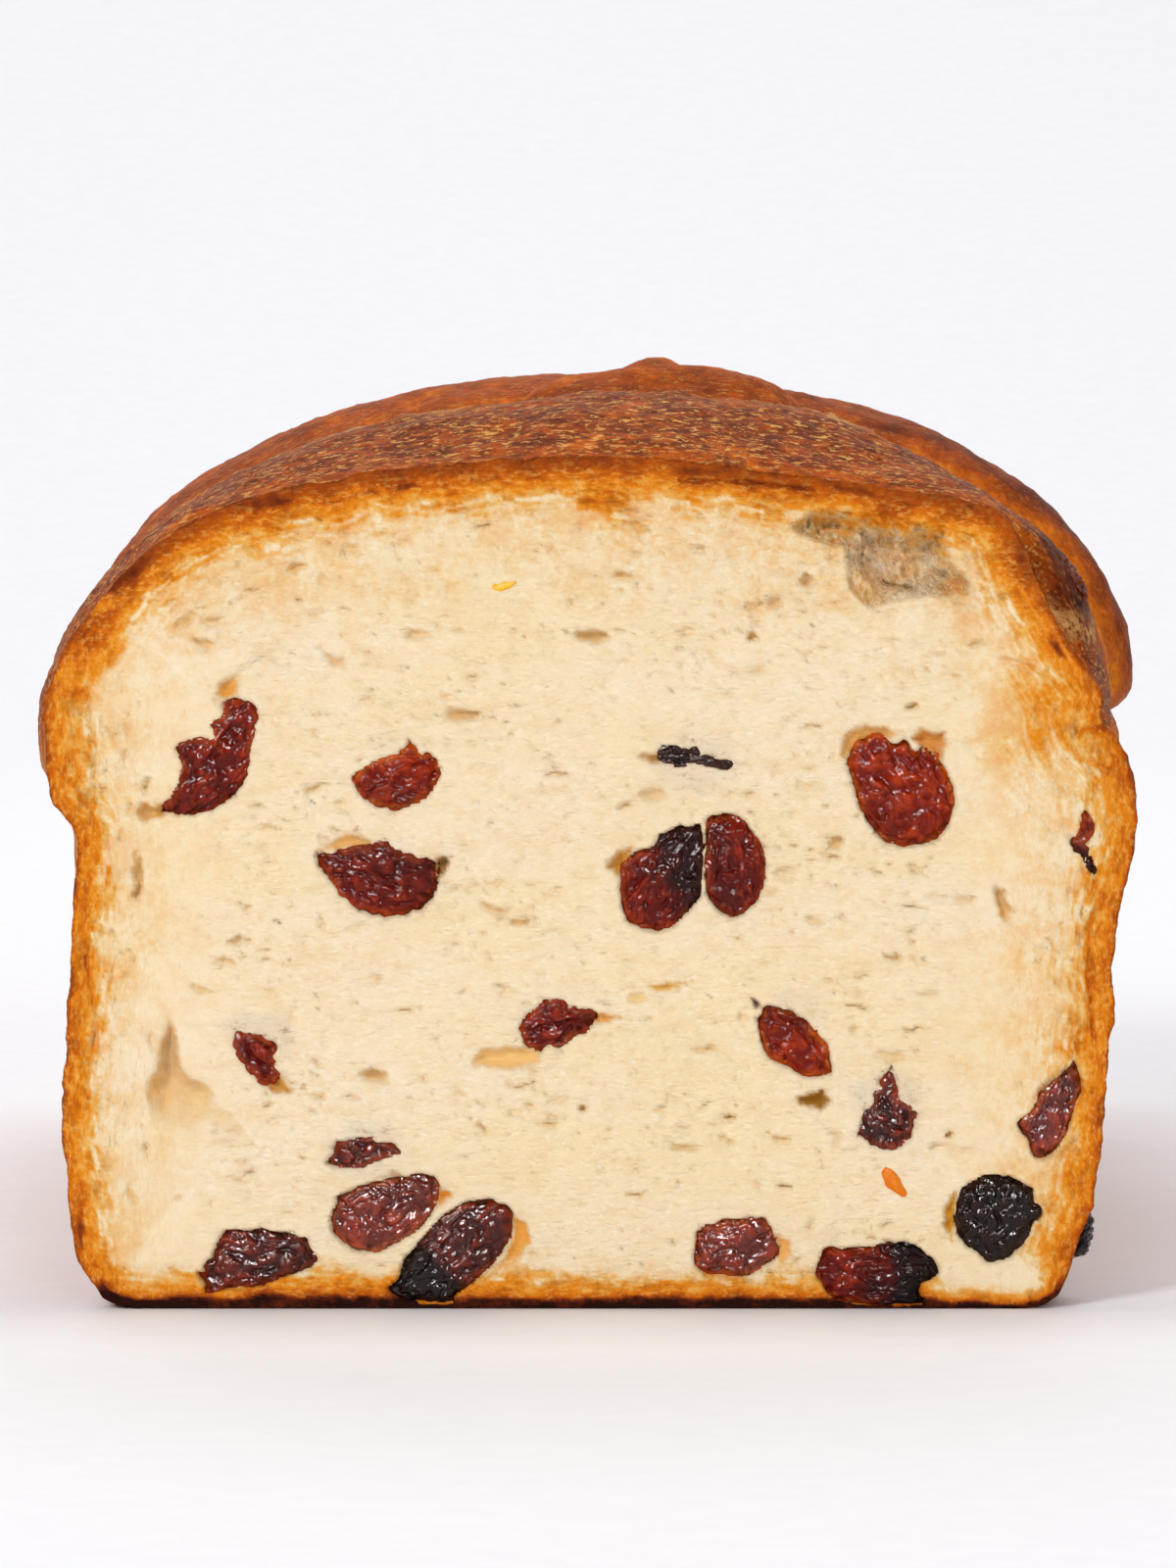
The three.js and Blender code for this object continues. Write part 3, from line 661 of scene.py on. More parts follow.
# the egg wash crackled into dusky and gold flecks as the crown swelled; the gold ones are partly pale
# blisters and partly painted glints
swollen = drawn_out(place_here, (0.5, 1.0, 1.0))
dusky_flecks = ranged(speckle(swollen, 760.0, 4.0, 0.7), 0.49, 0.56)
gold_flecks_and_glints = ranged(speckle(swollen, 1500.0, 4.0, 0.7), 0.54, 0.60)
flakes = ranged(speckle(swollen, 700.0, 4.0, 0.7), 0.44, 0.56)
for flecks, where, tint in ((dusky_flecks, "flecked", (84, 34, 10)),
                            (gold_flecks_and_glints, "flecked", (232, 170, 92)),
                            (flakes, "flaked", (232, 178, 108))):
    skin_colour = mixed(times(times(flecks, layer(where)), 0.8), skin_colour, colour(*tint))
leather_bump = bumped(speckle(place_here, 1300.0, 4.0, 0.65), 0.6, 0.0003)
finish_look(shader, skin_colour, bumped(gold_flecks_and_glints, 0.5, 0.0003, leather_bump),
            {"Roughness": 0.45, "Specular IOR Level": 0.02})
crust.data.materials.append(crust_look)
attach(crust, "root")
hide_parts("loaf")

# ---- raisins -----------------------------------------------------------------------------------
# Dried grapes kneaded into the dough and plumped by it: whole berries with glossy wrinkled skins,
# from amber to nearly black. The knife pushed them aside, so the crumb tore round their edges.

RAISIN_LEVELS = 4
FOLD_SIZE = (3.4, 1.7, 1.7)             # along the berry and across it
FOLD_DEPTH = 0.36
CRINKLE_SIZE = (1.5, 0.85, 0.85)
CRINKLE_DEPTH = 0.27
TINY_SIZE = (0.75, 0.5, 0.5)
TINY_DEPTH = 0.12
DENT_SIZE = 4.0
DENT_DEPTH = 0.22
KNOB_WANDER = 0.0026

# Of each raisin: its kind, the look of its skin, and where it baked dark, as a direction in
# degrees and how much of it.
RAISINS = {
    1: ("brown", "brown", 200, 0.2), 2: ("amber", "amber", 270, 0.3), 3: ("brown", "brown", 60, 0.4),
    4: ("black", "black", 0, 0.2), 5: ("purple", "brown", 20, 0.9), 6: ("brown", "brown", 200, 0.3),
    7: ("amber", "amber", 240, 0.2), 8: ("black", "brown", 250, 0.9), 9: ("purple", "brown", 180, 0.2),
    10: ("brown", "brown", 0, 0.2), 11: ("amber", "amber", 110, 0.3), 12: ("purple", "purple", 180, 0.4),
    13: ("purple", "syrupy", 90, 0.3), 14: ("purple", "purple", 0, 0.1), 15: ("purple", "syrupy", 90, 0.2),
    16: ("black", "purple", 215, 1.0), 17: ("purple", "purple", 0, 0.4), 18: ("amber", "syrupy", 0, 0.1),
    19: ("black", "brown", 350, 1.0), 20: ("black", "black", 0, 0.3), 21: ("black", "black", 0, 0),
    22: ("brown", "crusted", 0, 0.2), 23: ("brown", "brown", 0, 0), 24: ("purple", "purple", 0, 0),
    25: ("black", "black", 0, 0), 26: ("brown", "brown", 0, 0), 27: ("black", "black", 0, 0),
}

# The edges of the raisins that the cut laid bare whole, in mm across and up.
BARED = {
    5: [(3.2, 47.6), (3.3, 49.6), (4.2, 51.2), (5.2, 52.1), (7.0, 52.5), (7.8, 53.9), (8.9, 54.4),
        (10.0, 55.0), (11.0, 54.8), (12.5, 55.2), (12.8, 53.6), (12.7, 49.5), (12.6, 47.0), (11.3, 45.3),
        (9.6, 43.6), (7.8, 42.7), (5.8, 43.0), (4.2, 43.7), (3.4, 45.4)],
    6: [(12.9, 55.8), (14.0, 56.1), (15.4, 56.4), (17.0, 55.9), (18.2, 54.4), (19.4, 52.8), (19.9, 50.4),
        (19.6, 47.9), (18.7, 46.2), (17.5, 45.0), (16.2, 44.2), (14.8, 44.7), (13.8, 45.6), (12.9, 46.9),
        (12.8, 49.4), (12.9, 53.0)],
    7: [(28.7, 61.7), (29.1, 63.2), (30.2, 64.6), (31.6, 65.1), (33.3, 65.1), (33.7, 64.2), (34.4, 64.2),
        (35.4, 64.9), (35.9, 64.0), (36.6, 63.2), (37.2, 63.9), (38.8, 62.9), (40.1, 61.2), (41.0, 59.0),
        (41.1, 57.0), (40.3, 54.7), (39.1, 53.2), (37.2, 52.5), (35.2, 52.3), (33.2, 52.7), (31.6, 54.4),
        (30.3, 56.6), (29.4, 59.6)],
    11: [(18.7, 33.0), (19.2, 33.3), (19.3, 34.2), (20.2, 34.8), (21.0, 34.3), (22.0, 34.1), (22.8, 34.0),
         (23.4, 33.3), (24.5, 32.9), (25.2, 31.8), (26.0, 31.0), (26.8, 30.2), (27.1, 28.6), (27.5, 27.2),
         (27.3, 26.0), (26.9, 26.6), (26.0, 26.4), (24.8, 26.1), (23.8, 26.4), (22.6, 27.2), (21.4, 27.8),
         (20.2, 28.3), (19.5, 29.4), (19.2, 30.4), (18.8, 31.8)],
    13: [(54.7, 28.6), (55.2, 27.4), (55.6, 26.0), (55.5, 24.8), (54.9, 23.4), (54.5, 22.0), (54.1, 20.4),
         (53.4, 19.0), (52.4, 17.6), (51.4, 16.9), (49.9, 17.0), (49.5, 18.4), (49.4, 19.2), (48.6, 19.8),
         (48.3, 20.6), (47.9, 21.1), (48.8, 21.8), (49.8, 22.4), (50.2, 23.4), (50.7, 24.6), (51.6, 25.4),
         (52.4, 26.0), (53.2, 26.8), (53.8, 27.4)],
    15: [(-29.0, 12.7), (-27.5, 13.3), (-26.0, 14.1), (-24.0, 14.6), (-22.5, 14.9), (-21.0, 15.0),
         (-20.0, 15.3), (-19.0, 15.5), (-18.2, 15.2), (-17.4, 15.2), (-17.0, 14.0), (-17.1, 12.8),
         (-17.6, 11.2), (-18.5, 10.0), (-19.5, 8.9), (-21.0, 7.9), (-22.5, 7.0), (-23.9, 6.2), (-25.5, 6.3),
         (-27.0, 6.5), (-28.3, 7.4), (-29.3, 8.6), (-29.6, 9.8), (-29.3, 11.2), (-28.8, 12.0)],
    16: [(-23.3, 2.2), (-22.0, 3.2), (-21.5, 4.6), (-21.3, 5.6), (-20.0, 7.0), (-19.0, 8.2), (-17.8, 9.6),
         (-16.5, 10.8), (-15.0, 11.8), (-13.5, 12.3), (-12.0, 12.5), (-11.2, 12.7), (-10.5, 12.1),
         (-9.4, 11.9), (-8.6, 11.0), (-8.8, 9.4), (-8.8, 8.2), (-9.8, 6.4), (-11.0, 4.9), (-12.5, 3.5),
         (-14.0, 2.3), (-15.2, 1.4), (-15.4, 0.5), (-16.5, 0.3), (-19.0, 0.4), (-20.6, 0.6), (-22.4, 1.2)],
    17: [(-44.9, 4.4), (-43.9, 4.3), (-43.8, 5.3), (-43.0, 5.8), (-42.8, 6.4), (-42.3, 7.8), (-41.3, 9.0),
         (-40.0, 9.1), (-38.6, 8.9), (-37.4, 9.3), (-36.0, 8.9), (-34.5, 8.7), (-33.0, 8.2), (-32.0, 8.0),
         (-31.8, 7.0), (-31.1, 6.3), (-30.8, 5.3), (-31.6, 4.6), (-33.0, 4.0), (-35.0, 3.4), (-37.5, 2.4),
         (-39.5, 2.3), (-41.5, 2.2), (-43.0, 1.5), (-43.9, 1.6), (-43.9, 2.8), (-44.6, 3.6)],
    18: [(11.6, 6.6), (11.9, 8.6), (13.0, 9.5), (14.3, 9.7), (14.8, 10.3), (16.5, 10.2), (18.2, 10.5),
         (19.7, 10.4), (20.5, 9.4), (20.9, 8.2), (21.4, 7.2), (21.6, 6.4), (20.8, 5.4), (19.4, 4.6),
         (18.2, 3.7), (17.0, 3.4), (15.0, 3.6), (13.2, 3.6), (12.3, 4.2), (11.6, 4.9)],
    19: [(25.4, 4.4), (25.9, 5.8), (26.3, 6.8), (27.1, 7.2), (28.4, 6.9), (29.8, 7.0), (31.0, 7.1),
         (31.6, 7.0), (33.0, 7.5), (34.8, 7.6), (36.4, 7.4), (37.4, 6.9), (38.2, 6.1), (39.0, 5.6),
         (39.5, 4.6), (39.6, 3.8), (38.8, 3.2), (37.6, 2.8), (37.3, 1.9), (37.8, 1.0), (38.0, 0.3),
         (36.0, 0.2), (33.0, 0.2), (30.0, 0.4), (28.0, 0.6), (26.6, 1.6), (26.0, 2.8), (25.4, 3.4)],
    20: [(41.3, 12.0), (41.8, 13.8), (43.0, 14.4), (44.2, 15.2), (46.0, 15.4), (47.4, 15.1), (48.8, 14.5),
         (50.2, 13.6), (50.3, 12.0), (50.9, 11.8), (51.3, 10.9), (50.8, 10.0), (50.2, 9.6), (49.8, 8.4),
         (49.0, 7.0), (47.6, 5.8), (46.2, 5.2), (45.0, 5.0), (43.8, 6.2), (42.4, 7.0), (41.4, 8.4),
         (41.1, 10.0)],
}

# Raisins that the crumb still partly covers, in mm across and up: the ball each is drawn out
# from, as its middle, half length, half width and lean, and the torn edge round what shows.
TORN = {
    1: ((-42.6, 62.5, 8.9, 4.9, 52),
        [(-41.3, 68.8), (-40.4, 69.3), (-38.2, 69.0), (-37.5, 68.2), (-37.6, 66.8), (-37.9, 65.2),
         (-38.4, 64.0), (-38.4, 62.3), (-38.8, 60.2), (-39.8, 58.3), (-41.5, 57.0), (-44.0, 56.0),
         (-46.6, 55.8), (-48.4, 56.4), (-48.4, 57.3), (-47.3, 58.1), (-46.3, 59.4), (-45.9, 61.0),
         (-46.0, 62.1), (-46.9, 63.6), (-46.0, 64.4), (-44.0, 64.8), (-42.1, 64.3), (-42.2, 65.5),
         (-42.7, 66.2), (-42.0, 66.8), (-41.3, 67.3)]),
    2: ((-22.0, 60.2, 5.7, 4.6, 12),
        [(-27.2, 60.3), (-25.6, 61.2), (-24.0, 62.2), (-22.0, 62.7), (-21.0, 63.5), (-20.4, 64.6),
         (-19.6, 63.8), (-19.1, 62.8), (-18.0, 63.1), (-17.2, 62.2), (-16.8, 60.8), (-17.3, 59.3),
         (-18.6, 58.0), (-20.4, 57.0), (-22.0, 56.4), (-23.5, 56.8), (-25.5, 57.8), (-26.5, 59.0)]),
    3: ((-24.0, 49.6, 7.6, 5.6, -6),
        [(-31.1, 51.9), (-29.5, 51.8), (-27.0, 52.2), (-25.0, 52.4), (-23.7, 53.1), (-22.7, 53.1),
         (-22.4, 52.3), (-20.7, 51.8), (-19.8, 51.3), (-18.2, 51.3), (-17.4, 51.2), (-17.4, 49.4),
         (-17.2, 48.0), (-17.8, 46.4), (-19.0, 45.2), (-21.0, 44.6), (-23.0, 44.4), (-25.0, 44.8),
         (-27.0, 45.8), (-28.6, 47.5), (-29.8, 49.2), (-30.9, 50.3)]),
    4: ((11.6, 62.5, 5.4, 2.4, -6),
        [(7.6, 63.1), (8.3, 63.9), (9.5, 63.8), (11.0, 63.3), (11.8, 63.6), (12.3, 62.6), (13.6, 62.5),
         (14.1, 62.2), (15.3, 62.3), (16.0, 62.4), (15.9, 61.5), (15.3, 61.3), (14.0, 61.6),
         (12.5, 62.0), (11.2, 62.0), (10.2, 61.4), (9.0, 61.7), (8.0, 62.1)]),
    8: ((55.8, 52.7, 4.2, 1.9, 100),
        [(55.2, 55.0), (55.1, 56.2), (55.9, 56.4), (56.2, 55.5), (57.0, 55.2), (56.5, 54.2), (55.9, 53.5),
         (55.0, 52.8), (55.9, 52.2), (55.8, 51.3), (56.6, 51.2), (56.7, 50.4), (57.1, 49.8),
         (56.8, 49.0), (56.1, 49.9), (55.7, 50.8), (55.2, 51.8), (54.3, 52.3), (54.2, 53.0), (55.0, 54.0)]),
    9: ((-37.9, 28.7, 4.6, 3.4, -56),
        [(-40.3, 30.2), (-40.1, 31.3), (-39.4, 31.7), (-38.9, 31.2), (-37.8, 31.3), (-36.2, 30.6),
         (-35.4, 30.4), (-35.2, 29.4), (-35.9, 29.0), (-36.0, 28.3), (-35.3, 27.0), (-35.0, 26.2),
         (-36.0, 26.0), (-36.6, 25.2), (-37.6, 25.9), (-38.3, 26.8), (-39.6, 28.3), (-40.0, 29.3)]),
    10: ((-4.0, 32.4, 5.2, 3.6, 14),
         [(-8.1, 32.1), (-7.4, 33.3), (-6.4, 33.9), (-5.4, 35.1), (-4.8, 35.2), (-4.3, 34.8), (-3.8, 35.3),
          (-3.0, 35.0), (-2.6, 34.1), (-1.8, 34.4), (-1.4, 34.0), (0.2, 34.1), (1.0, 33.6), (0.5, 32.4),
          (-0.8, 31.2), (-1.9, 31.1), (-2.8, 30.2), (-3.6, 29.6), (-4.6, 30.2), (-5.7, 29.2),
          (-6.6, 29.6), (-7.3, 29.6), (-7.9, 31.0)]),
    12: ((33.7, 22.2, 5.6, 4.0, 80),
         [(30.5, 21.0), (31.0, 22.6), (31.9, 23.0), (32.1, 24.6), (32.9, 25.3), (33.4, 27.0), (33.9, 27.6),
          (34.3, 26.0), (34.8, 24.8), (34.6, 23.7), (36.0, 23.1), (36.9, 22.3), (36.6, 21.0),
          (36.2, 19.5), (35.0, 18.3), (33.5, 18.0), (31.8, 18.5), (30.2, 19.8)]),
    14: ((-25.6, 17.7, 5.0, 2.7, -2),
         [(-28.9, 19.4), (-27.6, 19.1), (-26.5, 19.4), (-25.0, 19.5), (-24.2, 19.0), (-22.4, 18.9),
          (-21.4, 17.8), (-22.2, 17.4), (-23.5, 17.3), (-25.0, 16.6), (-26.0, 16.1), (-27.5, 15.9),
          (-29.2, 16.0), (-30.1, 16.6), (-29.3, 17.5), (-28.9, 18.4)]),
}

# The edge of what shows of each raisin in the face.
SHOWN = {number: edge for number, (_, edge) in TORN.items()} | BARED

SKIN_TINTS = {
    # ridges, folds (darker partly as painted shade in the creases), where light comes through; roughness,
    # gloss of the skin and of the syrup on it
    "amber": ((186, 58, 12), (122, 22, 4), (206, 98, 22), 0.14, 0.06, 0.22),
    "brown": ((160, 43, 16), (92, 13, 4), (174, 68, 22), 0.14, 0.06, 0.24),
    "syrupy": ((172, 56, 23), (98, 22, 9), (200, 92, 26), 0.16, 0.25, 0.60),
    "purple": ((148, 45, 25), (62, 12, 7), (160, 62, 28), 0.15, 0.15, 0.42),
    "black": ((46, 19, 14), (16, 6, 5), (66, 28, 16), 0.15, 0.12, 0.36),
    "crusted": ((150, 62, 24), (96, 32, 10), (170, 84, 30), 0.30, 0.12, 0.05),
}

# shared by all raisins: fine knobs and the creases between them, drawn out of round by a slow noise, the
# creases tinted darker partly as painted shade
tree, given, group_out = new_group("raisin_wrinkles", {"Ridge": "Color", "Fold": "Color", "Thin": "Color"},
                                   {"Color": "Color", "Height": "Float"})
wrinkling = tree
place_in = object_place()
wander = shader_node(tree, "ShaderNodeTexNoise", {"Vector": place_in, "Scale": 400.0, "Detail": 2.0})
pushed = shader_node(tree, "ShaderNodeVectorMath", {0: wander.outputs["Color"], 1: (KNOB_WANDER,) * 3},
                     operation="MULTIPLY")
moved = shader_node(tree, "ShaderNodeVectorMath", {0: place_in, 1: pushed.outputs[0]}, operation="ADD")
knobs = shader_node(tree, "ShaderNodeTexVoronoi", {"Vector": moved.outputs[0], "Scale": 610.0,
                                                   "Smoothness": 0.5}, feature="SMOOTH_F1")
knob_height = ranged(knobs.outputs["Distance"], 0.15, 0.65, 1.0, 0.0)
skin_noise = shader_node(tree, "ShaderNodeTexNoise", {"Vector": place_in, "Scale": 2300.0, "Detail": 3.0,
                                                      "Roughness": 0.6, "Distortion": 0.4})
skin_height = reckoned("MULTIPLY_ADD", skin_noise.outputs["Fac"], 0.2, knob_height)
shade = reckoned("ADD", speckle(place_in, 420.0, 3.0, 0.5), layer("folded"))
# darker in the folds and between the knobs: the skin's own deeper colour with painted shade
creased = ranged(reckoned("MULTIPLY_ADD", knob_height, -0.5, shade), -0.05, 0.8)
berry_colour = mixed(creased, given["Ridge"], given["Fold"])
berry_colour = mixed(layer("thin"), berry_colour, given["Thin"])
berry_colour = mixed(layer("darkened"), berry_colour, colour(24, 11, 12))
tree.links.new(berry_colour, group_out.inputs["Color"])
tree.links.new(skin_height, group_out.inputs["Height"])

skin_looks = {}
for name, (ridge_tint, fold_tint, thin_tint, roughness, gloss, syrup) in SKIN_TINTS.items():
    skin_looks[name], tree, shader = new_material(f"raisin_{name}")
    berry = shader_node(tree, "ShaderNodeGroup", node_tree=wrinkling)
    for socket_name, tint in (("Ridge", ridge_tint), ("Fold", fold_tint), ("Thin", thin_tint)):
        berry.inputs[socket_name].default_value = colour(*tint)
    finish_look(shader, berry.outputs["Color"], bumped(berry.outputs["Height"], 0.85, 0.00045),
                {"Roughness": roughness, "Specular IOR Level": gloss, "Specular Tint": (1, 0.82, 0.74, 1),
                 "Coat Weight": syrup, "Coat Roughness": 0.07})


def vertex_array(vertices, field="co"):
    """Three numbers of each vertex, in rows."""
    values = np.empty(len(vertices) * 3, np.float32)
    vertices.foreach_get(field, values)
    return values.reshape(-1, 3).astype(float)


def move_points(piece, points):
    piece.data.vertices.foreach_set("co", points.astype(np.float32).ravel())
    piece.data.update()


def line_distance(across, up, corners):
    """How far each place lies from a drawn line, in mm."""
    gap = np.full(len(across), 99.0)
    for (ax, az), (bx, bz) in zip(corners, corners[1:]):
        length = max((bx - ax) ** 2 + (bz - az) ** 2, 1e-9)
        share = np.clip(((across - ax) * (bx - ax) + (up - az) * (bz - az)) / length, 0, 1)
        gap = np.minimum(gap, np.hypot(across - ax - share * (bx - ax), up - az - share * (bz - az)))
    return gap


def inside_loop(across, up, corners):
    """How far inside a closed loop of corners each place lies, in mm, and below 0 outside it."""
    closed = corners + corners[:1]
    crossings = np.zeros(len(across), int)
    for (ax, az), (bx, bz) in zip(closed, closed[1:]):
        if az != bz:
            crossings += ((az > up) != (bz > up)) & (across < (bx - ax) * (up - az) / (bz - az) + ax)
    gap = line_distance(across, up, closed)
    return np.where(crossings % 2, gap, -gap)


def turned(across, up, lean):
    """Places across and up, turned by a lean in degrees."""
    cosine, sine = math.cos(math.radians(lean)), math.sin(math.radians(lean))
    return across * cosine - up * sine, across * sine + up * cosine


def whole_berry(number):
    """A berry on its solid's own form, subdivided."""
    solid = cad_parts[f"raisin_{number:02d}"]
    piece = bpy.data.objects.new(f"plump_raisin_{number:02d}", solid.data.copy())
    bpy.context.collection.objects.link(piece)
    bpy.context.view_layer.objects.active = piece
    piece.select_set(True)
    bpy.ops.object.mode_set(mode="EDIT")
    bpy.ops.mesh.select_all(action="SELECT")
    bpy.ops.mesh.remove_doubles(threshold=1e-6)
    bpy.ops.mesh.tris_convert_to_quads()
    bpy.ops.object.mode_set(mode="OBJECT")
    corners = vertex_array(piece.data.vertices)
    low, high = corners.min(axis=0), corners.max(axis=0)
    rounded = piece.modifiers.new("rounded", "SUBSURF")
    rounded.levels = rounded.render_levels = RAISIN_LEVELS
    bpy.ops.object.modifier_apply(modifier=rounded.name)
    points = vertex_array(piece.data.vertices)
    shrunk_low, shrunk_high = points.min(axis=0), points.max(axis=0)
    points = low + (points - shrunk_low) / (shrunk_high - shrunk_low) * (high - low)
    piece.select_set(False)
    return piece, to_mm(points)


SHOULDER_SIDE = math.radians(31)        # the raisin in the right shoulder rides on the swelling there
SHOULDER_LIFT = 1.5
BERRY_THICKNESS = 6.4
BERRY_FRONT = -0.4
BERRY_SQUARENESS = 3.0
BERRY_MARGIN = 0.5


def bared_berry(number):
    """A berry that lies in the cut face, drawn out from a ball to its own outline."""
    bpy.ops.mesh.primitive_ico_sphere_add(subdivisions=6, radius=1)
    piece = bpy.context.object
    piece.name = f"plump_raisin_{number:02d}"
    ball = vertex_array(piece.data.vertices)
    reach = np.minimum(np.hypot(ball[:, 0], ball[:, 2]), 1)
    bulge = (1 - reach ** BERRY_SQUARENESS) ** (1 / BERRY_SQUARENESS) * np.sign(ball[:, 1])
    if number in TORN:
        x, z, half_length, half_width, lean = TORN[number][0]
        half_thickness = min(BERRY_THICKNESS / 2, half_width * 1.1)
        across, up = turned(ball[:, 0] * half_length, ball[:, 2] * half_width, lean)
    else:
        corners = np.array(BARED[number])
        x, z = (corners.min(axis=0) + corners.max(axis=0)) / 2
        half_thickness = BERRY_THICKNESS / 2
        turns = np.arctan2(corners[:, 1] - z, corners[:, 0] - x)
        order = np.argsort(turns)
        edge = np.interp(np.arctan2(ball[:, 2], ball[:, 0]), turns[order],
                         np.hypot(corners[:, 0] - x, corners[:, 1] - z)[order], period=2 * math.pi)
        across, up = ball[:, 0] * (edge + BERRY_MARGIN), ball[:, 2] * (edge + BERRY_MARGIN)
    points = np.stack([x + across, bulge * half_thickness + half_thickness + BERRY_FRONT, z + up], axis=1)
    piece.select_set(False)
    return piece, points


def drift(points, size, seeds):
    """Smooth noise in each of the three directions."""
    return np.stack([noise(points, size, seed) for seed in seeds], axis=1)


def wrinkled(piece, points, number):
    """Folds and crinkles pressed into a smooth berry, and how deep in them each place lies."""
    move_points(piece, points)
    normals = vertex_array(piece.data.vertex_normals, "vector")
    middle = points.mean(axis=0)
    axes = np.linalg.eigh(np.cov((points - middle).T))[1][:, ::-1]
    upended = (points - middle) @ axes
    warped = upended + 0.8 * drift(upended, 2.4, (number + 0.1, number + 4.2, number + 8.3))
    folds = 1 - np.minimum(np.abs(noise(warped, FOLD_SIZE, number * 3.7)) * 2.6, 1)
    crinkles = 1 - np.minimum(np.abs(noise(warped, CRINKLE_SIZE, number * 1.9 + 5)) * 2.2, 1)
    dents = cloud(upended, DENT_SIZE, 2, number * 5.1)
    tiny = noise(warped, TINY_SIZE, number * 2.3)
    sunk = FOLD_DEPTH * folds ** 2 + CRINKLE_DEPTH * crinkles - TINY_DEPTH * tiny + DENT_DEPTH * dents
    return points - normals * sunk[:, None], folds * 0.35 + crinkles * 0.35


for number, (kind, skin_name, dark_side, darkness) in RAISINS.items():
    piece, points = bared_berry(number) if number in SHOWN else whole_berry(number)
    points, folded = wrinkled(piece, points, number)
    low, high = points.min(axis=0), points.max(axis=0)
    offset = (points - (low + high) / 2) / (high - low) * 2
    dark_run = turned(offset[:, 0], offset[:, 2], -dark_side)[0]
    darkened = darkness * ease(dark_run + 0.4 * noise(points, 3.0, 81.0), -0.35, 0.45)
    thin = np.zeros(len(points))
    if number == SHOULDER_RAISIN:
        points = points + np.array((math.cos(SHOULDER_SIDE), 0, math.sin(SHOULDER_SIDE))) * SHOULDER_LIFT
    if number in SHOWN:
        # what shows is thin at its torn edge and painted lighter there, as light comes through it, and what
        # the crumb covers sinks out of sight behind it
        inside = inside_loop(points[:, 0], points[:, 2], SHOWN[number])
        in_front = points[:, 1] < 2
        thin = 0.6 * (1 - ease(inside + 0.7 * noise(points, 2.0, 83.0), 0.0, 0.9)) * in_front
        points[:, 1] += in_front * ease(-inside, 0.1, 0.8) * np.maximum(1.6 - points[:, 1], 0)
    points = to_metres(points)
    points[:, 2] = np.maximum(points[:, 2], 0)
    piece.data.polygons.foreach_set("use_smooth", [True] * len(piece.data.polygons))
    move_points(piece, points)
    for layer_name, values in (("folded", folded), ("thin", thin), ("darkened", darkened)):
        paint(piece, layer_name, values)
    piece.data.materials.clear()
    piece.data.materials.append(skin_looks[skin_name])
    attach(piece, "root")
    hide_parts(f"raisin_{number:02d}")

# ---- crumb -------------------------------------------------------------------------------------
# The cut face: soft cream crumb full of small drawn-out holes, with the raisins sitting in torn
# sockets, a big burst bubble under the right shoulder and a torn hollow low on the left.

CRUMB_COLUMNS = 354
CRUMB_ROWS = 270
FACE_CORNERS = [(54.2, 2.0), (50.4, 80.3), (-54.9, 80.4), (-54.4, 2.0)]
RUN_STEPS = 3000


def distance_along(line):
    return np.concatenate([[0], np.cumsum(np.linalg.norm(np.diff(line, axis=0), axis=1))])


def edge_run(start, stop, count):
    """Points of the cut edge from one direction to another, evenly apart."""
    turn = np.radians(np.linspace(start, stop, RUN_STEPS))
    radius = loaf_radius(turn, turn * 0)
    way = distance_along(ring_points(turn, radius, turn * 0))
    even = np.interp(np.linspace(0, way[-1], count), way, np.arange(RUN_STEPS))
    radius = np.interp(even, np.arange(RUN_STEPS), radius)
    turn = np.interp(even, np.arange(RUN_STEPS), turn)
    line = ring_points(turn, radius, turn * 0)
    out = np.stack([np.cos(turn), turn * 0, np.sin(turn)], axis=1)
    on_floor = ease(3 - line[:, 2], 0, 3) * ease(-np.sin(turn), 0.75, 0.95)
    line = line + out * (edge_raggedness(line) * (1 - on_floor))[:, None]
    line[:, 2] = np.maximum(line[:, 2], 0)
    return line


right_low, right_high, left_high, left_low = (math.degrees(math.atan2(z - AXIS_HEIGHT, x)) % 360
                                              for x, z in FACE_CORNERS)
run_right = edge_run(right_low - 360, right_high, CRUMB_ROWS)
run_top = edge_run(left_high, right_high, CRUMB_COLUMNS)
run_left = edge_run(left_low, left_high, CRUMB_ROWS)
run_base = edge_run(left_low, right_low, CRUMB_COLUMNS)

# a sheet of points between the four runs, blended from each pair that faces each other
across = np.linspace(0, 1, CRUMB_COLUMNS)[None, :, None]
upward = np.linspace(0, 1, CRUMB_ROWS)[:, None, None]
face = (1 - upward) * run_base[None] + upward * run_top[None]
face = face + (1 - across) * run_left[:, None] + across * run_right[:, None]
face = face - ((1 - across) * (1 - upward) * run_base[0] + across * (1 - upward) * run_base[-1]
               + (1 - across) * upward * run_top[0] + across * upward * run_top[-1])
face = face.reshape(-1, 3)
face_x, face_z = face[:, 0], face[:, 2]

# distance from the edge, and how far along the edge the nearest place on it lies
rim_points = np.concatenate([run_base, run_right, run_top[::-1], run_left[::-1]])[::2]
rim_walk = distance_along(rim_points)
nearest_parts = []
distance_parts = []
for part in np.array_split(face, 24):                       # in parts, to spare memory
    gaps = np.hypot(part[:, None, 0] - rim_points[None, :, 0], part[:, None, 2] - rim_points[None, :, 2])
    nearest_parts.append(gaps.argmin(axis=1))
    distance_parts.append(gaps.min(axis=1))
rim_nearest = np.concatenate(nearest_parts)
rim_distance = np.concatenate(distance_parts)
nearest = rim_points[rim_nearest]
above = ease(nearest[:, 2], 70, 88)
below = ease(3.5 - nearest[:, 2], 0, 2)
by_edge = np.stack([rim_walk[rim_nearest], rim_distance * 0, rim_distance], axis=1)
streaks = cloud(by_edge, (2.4, 1, 0.6), 3, 65.0)

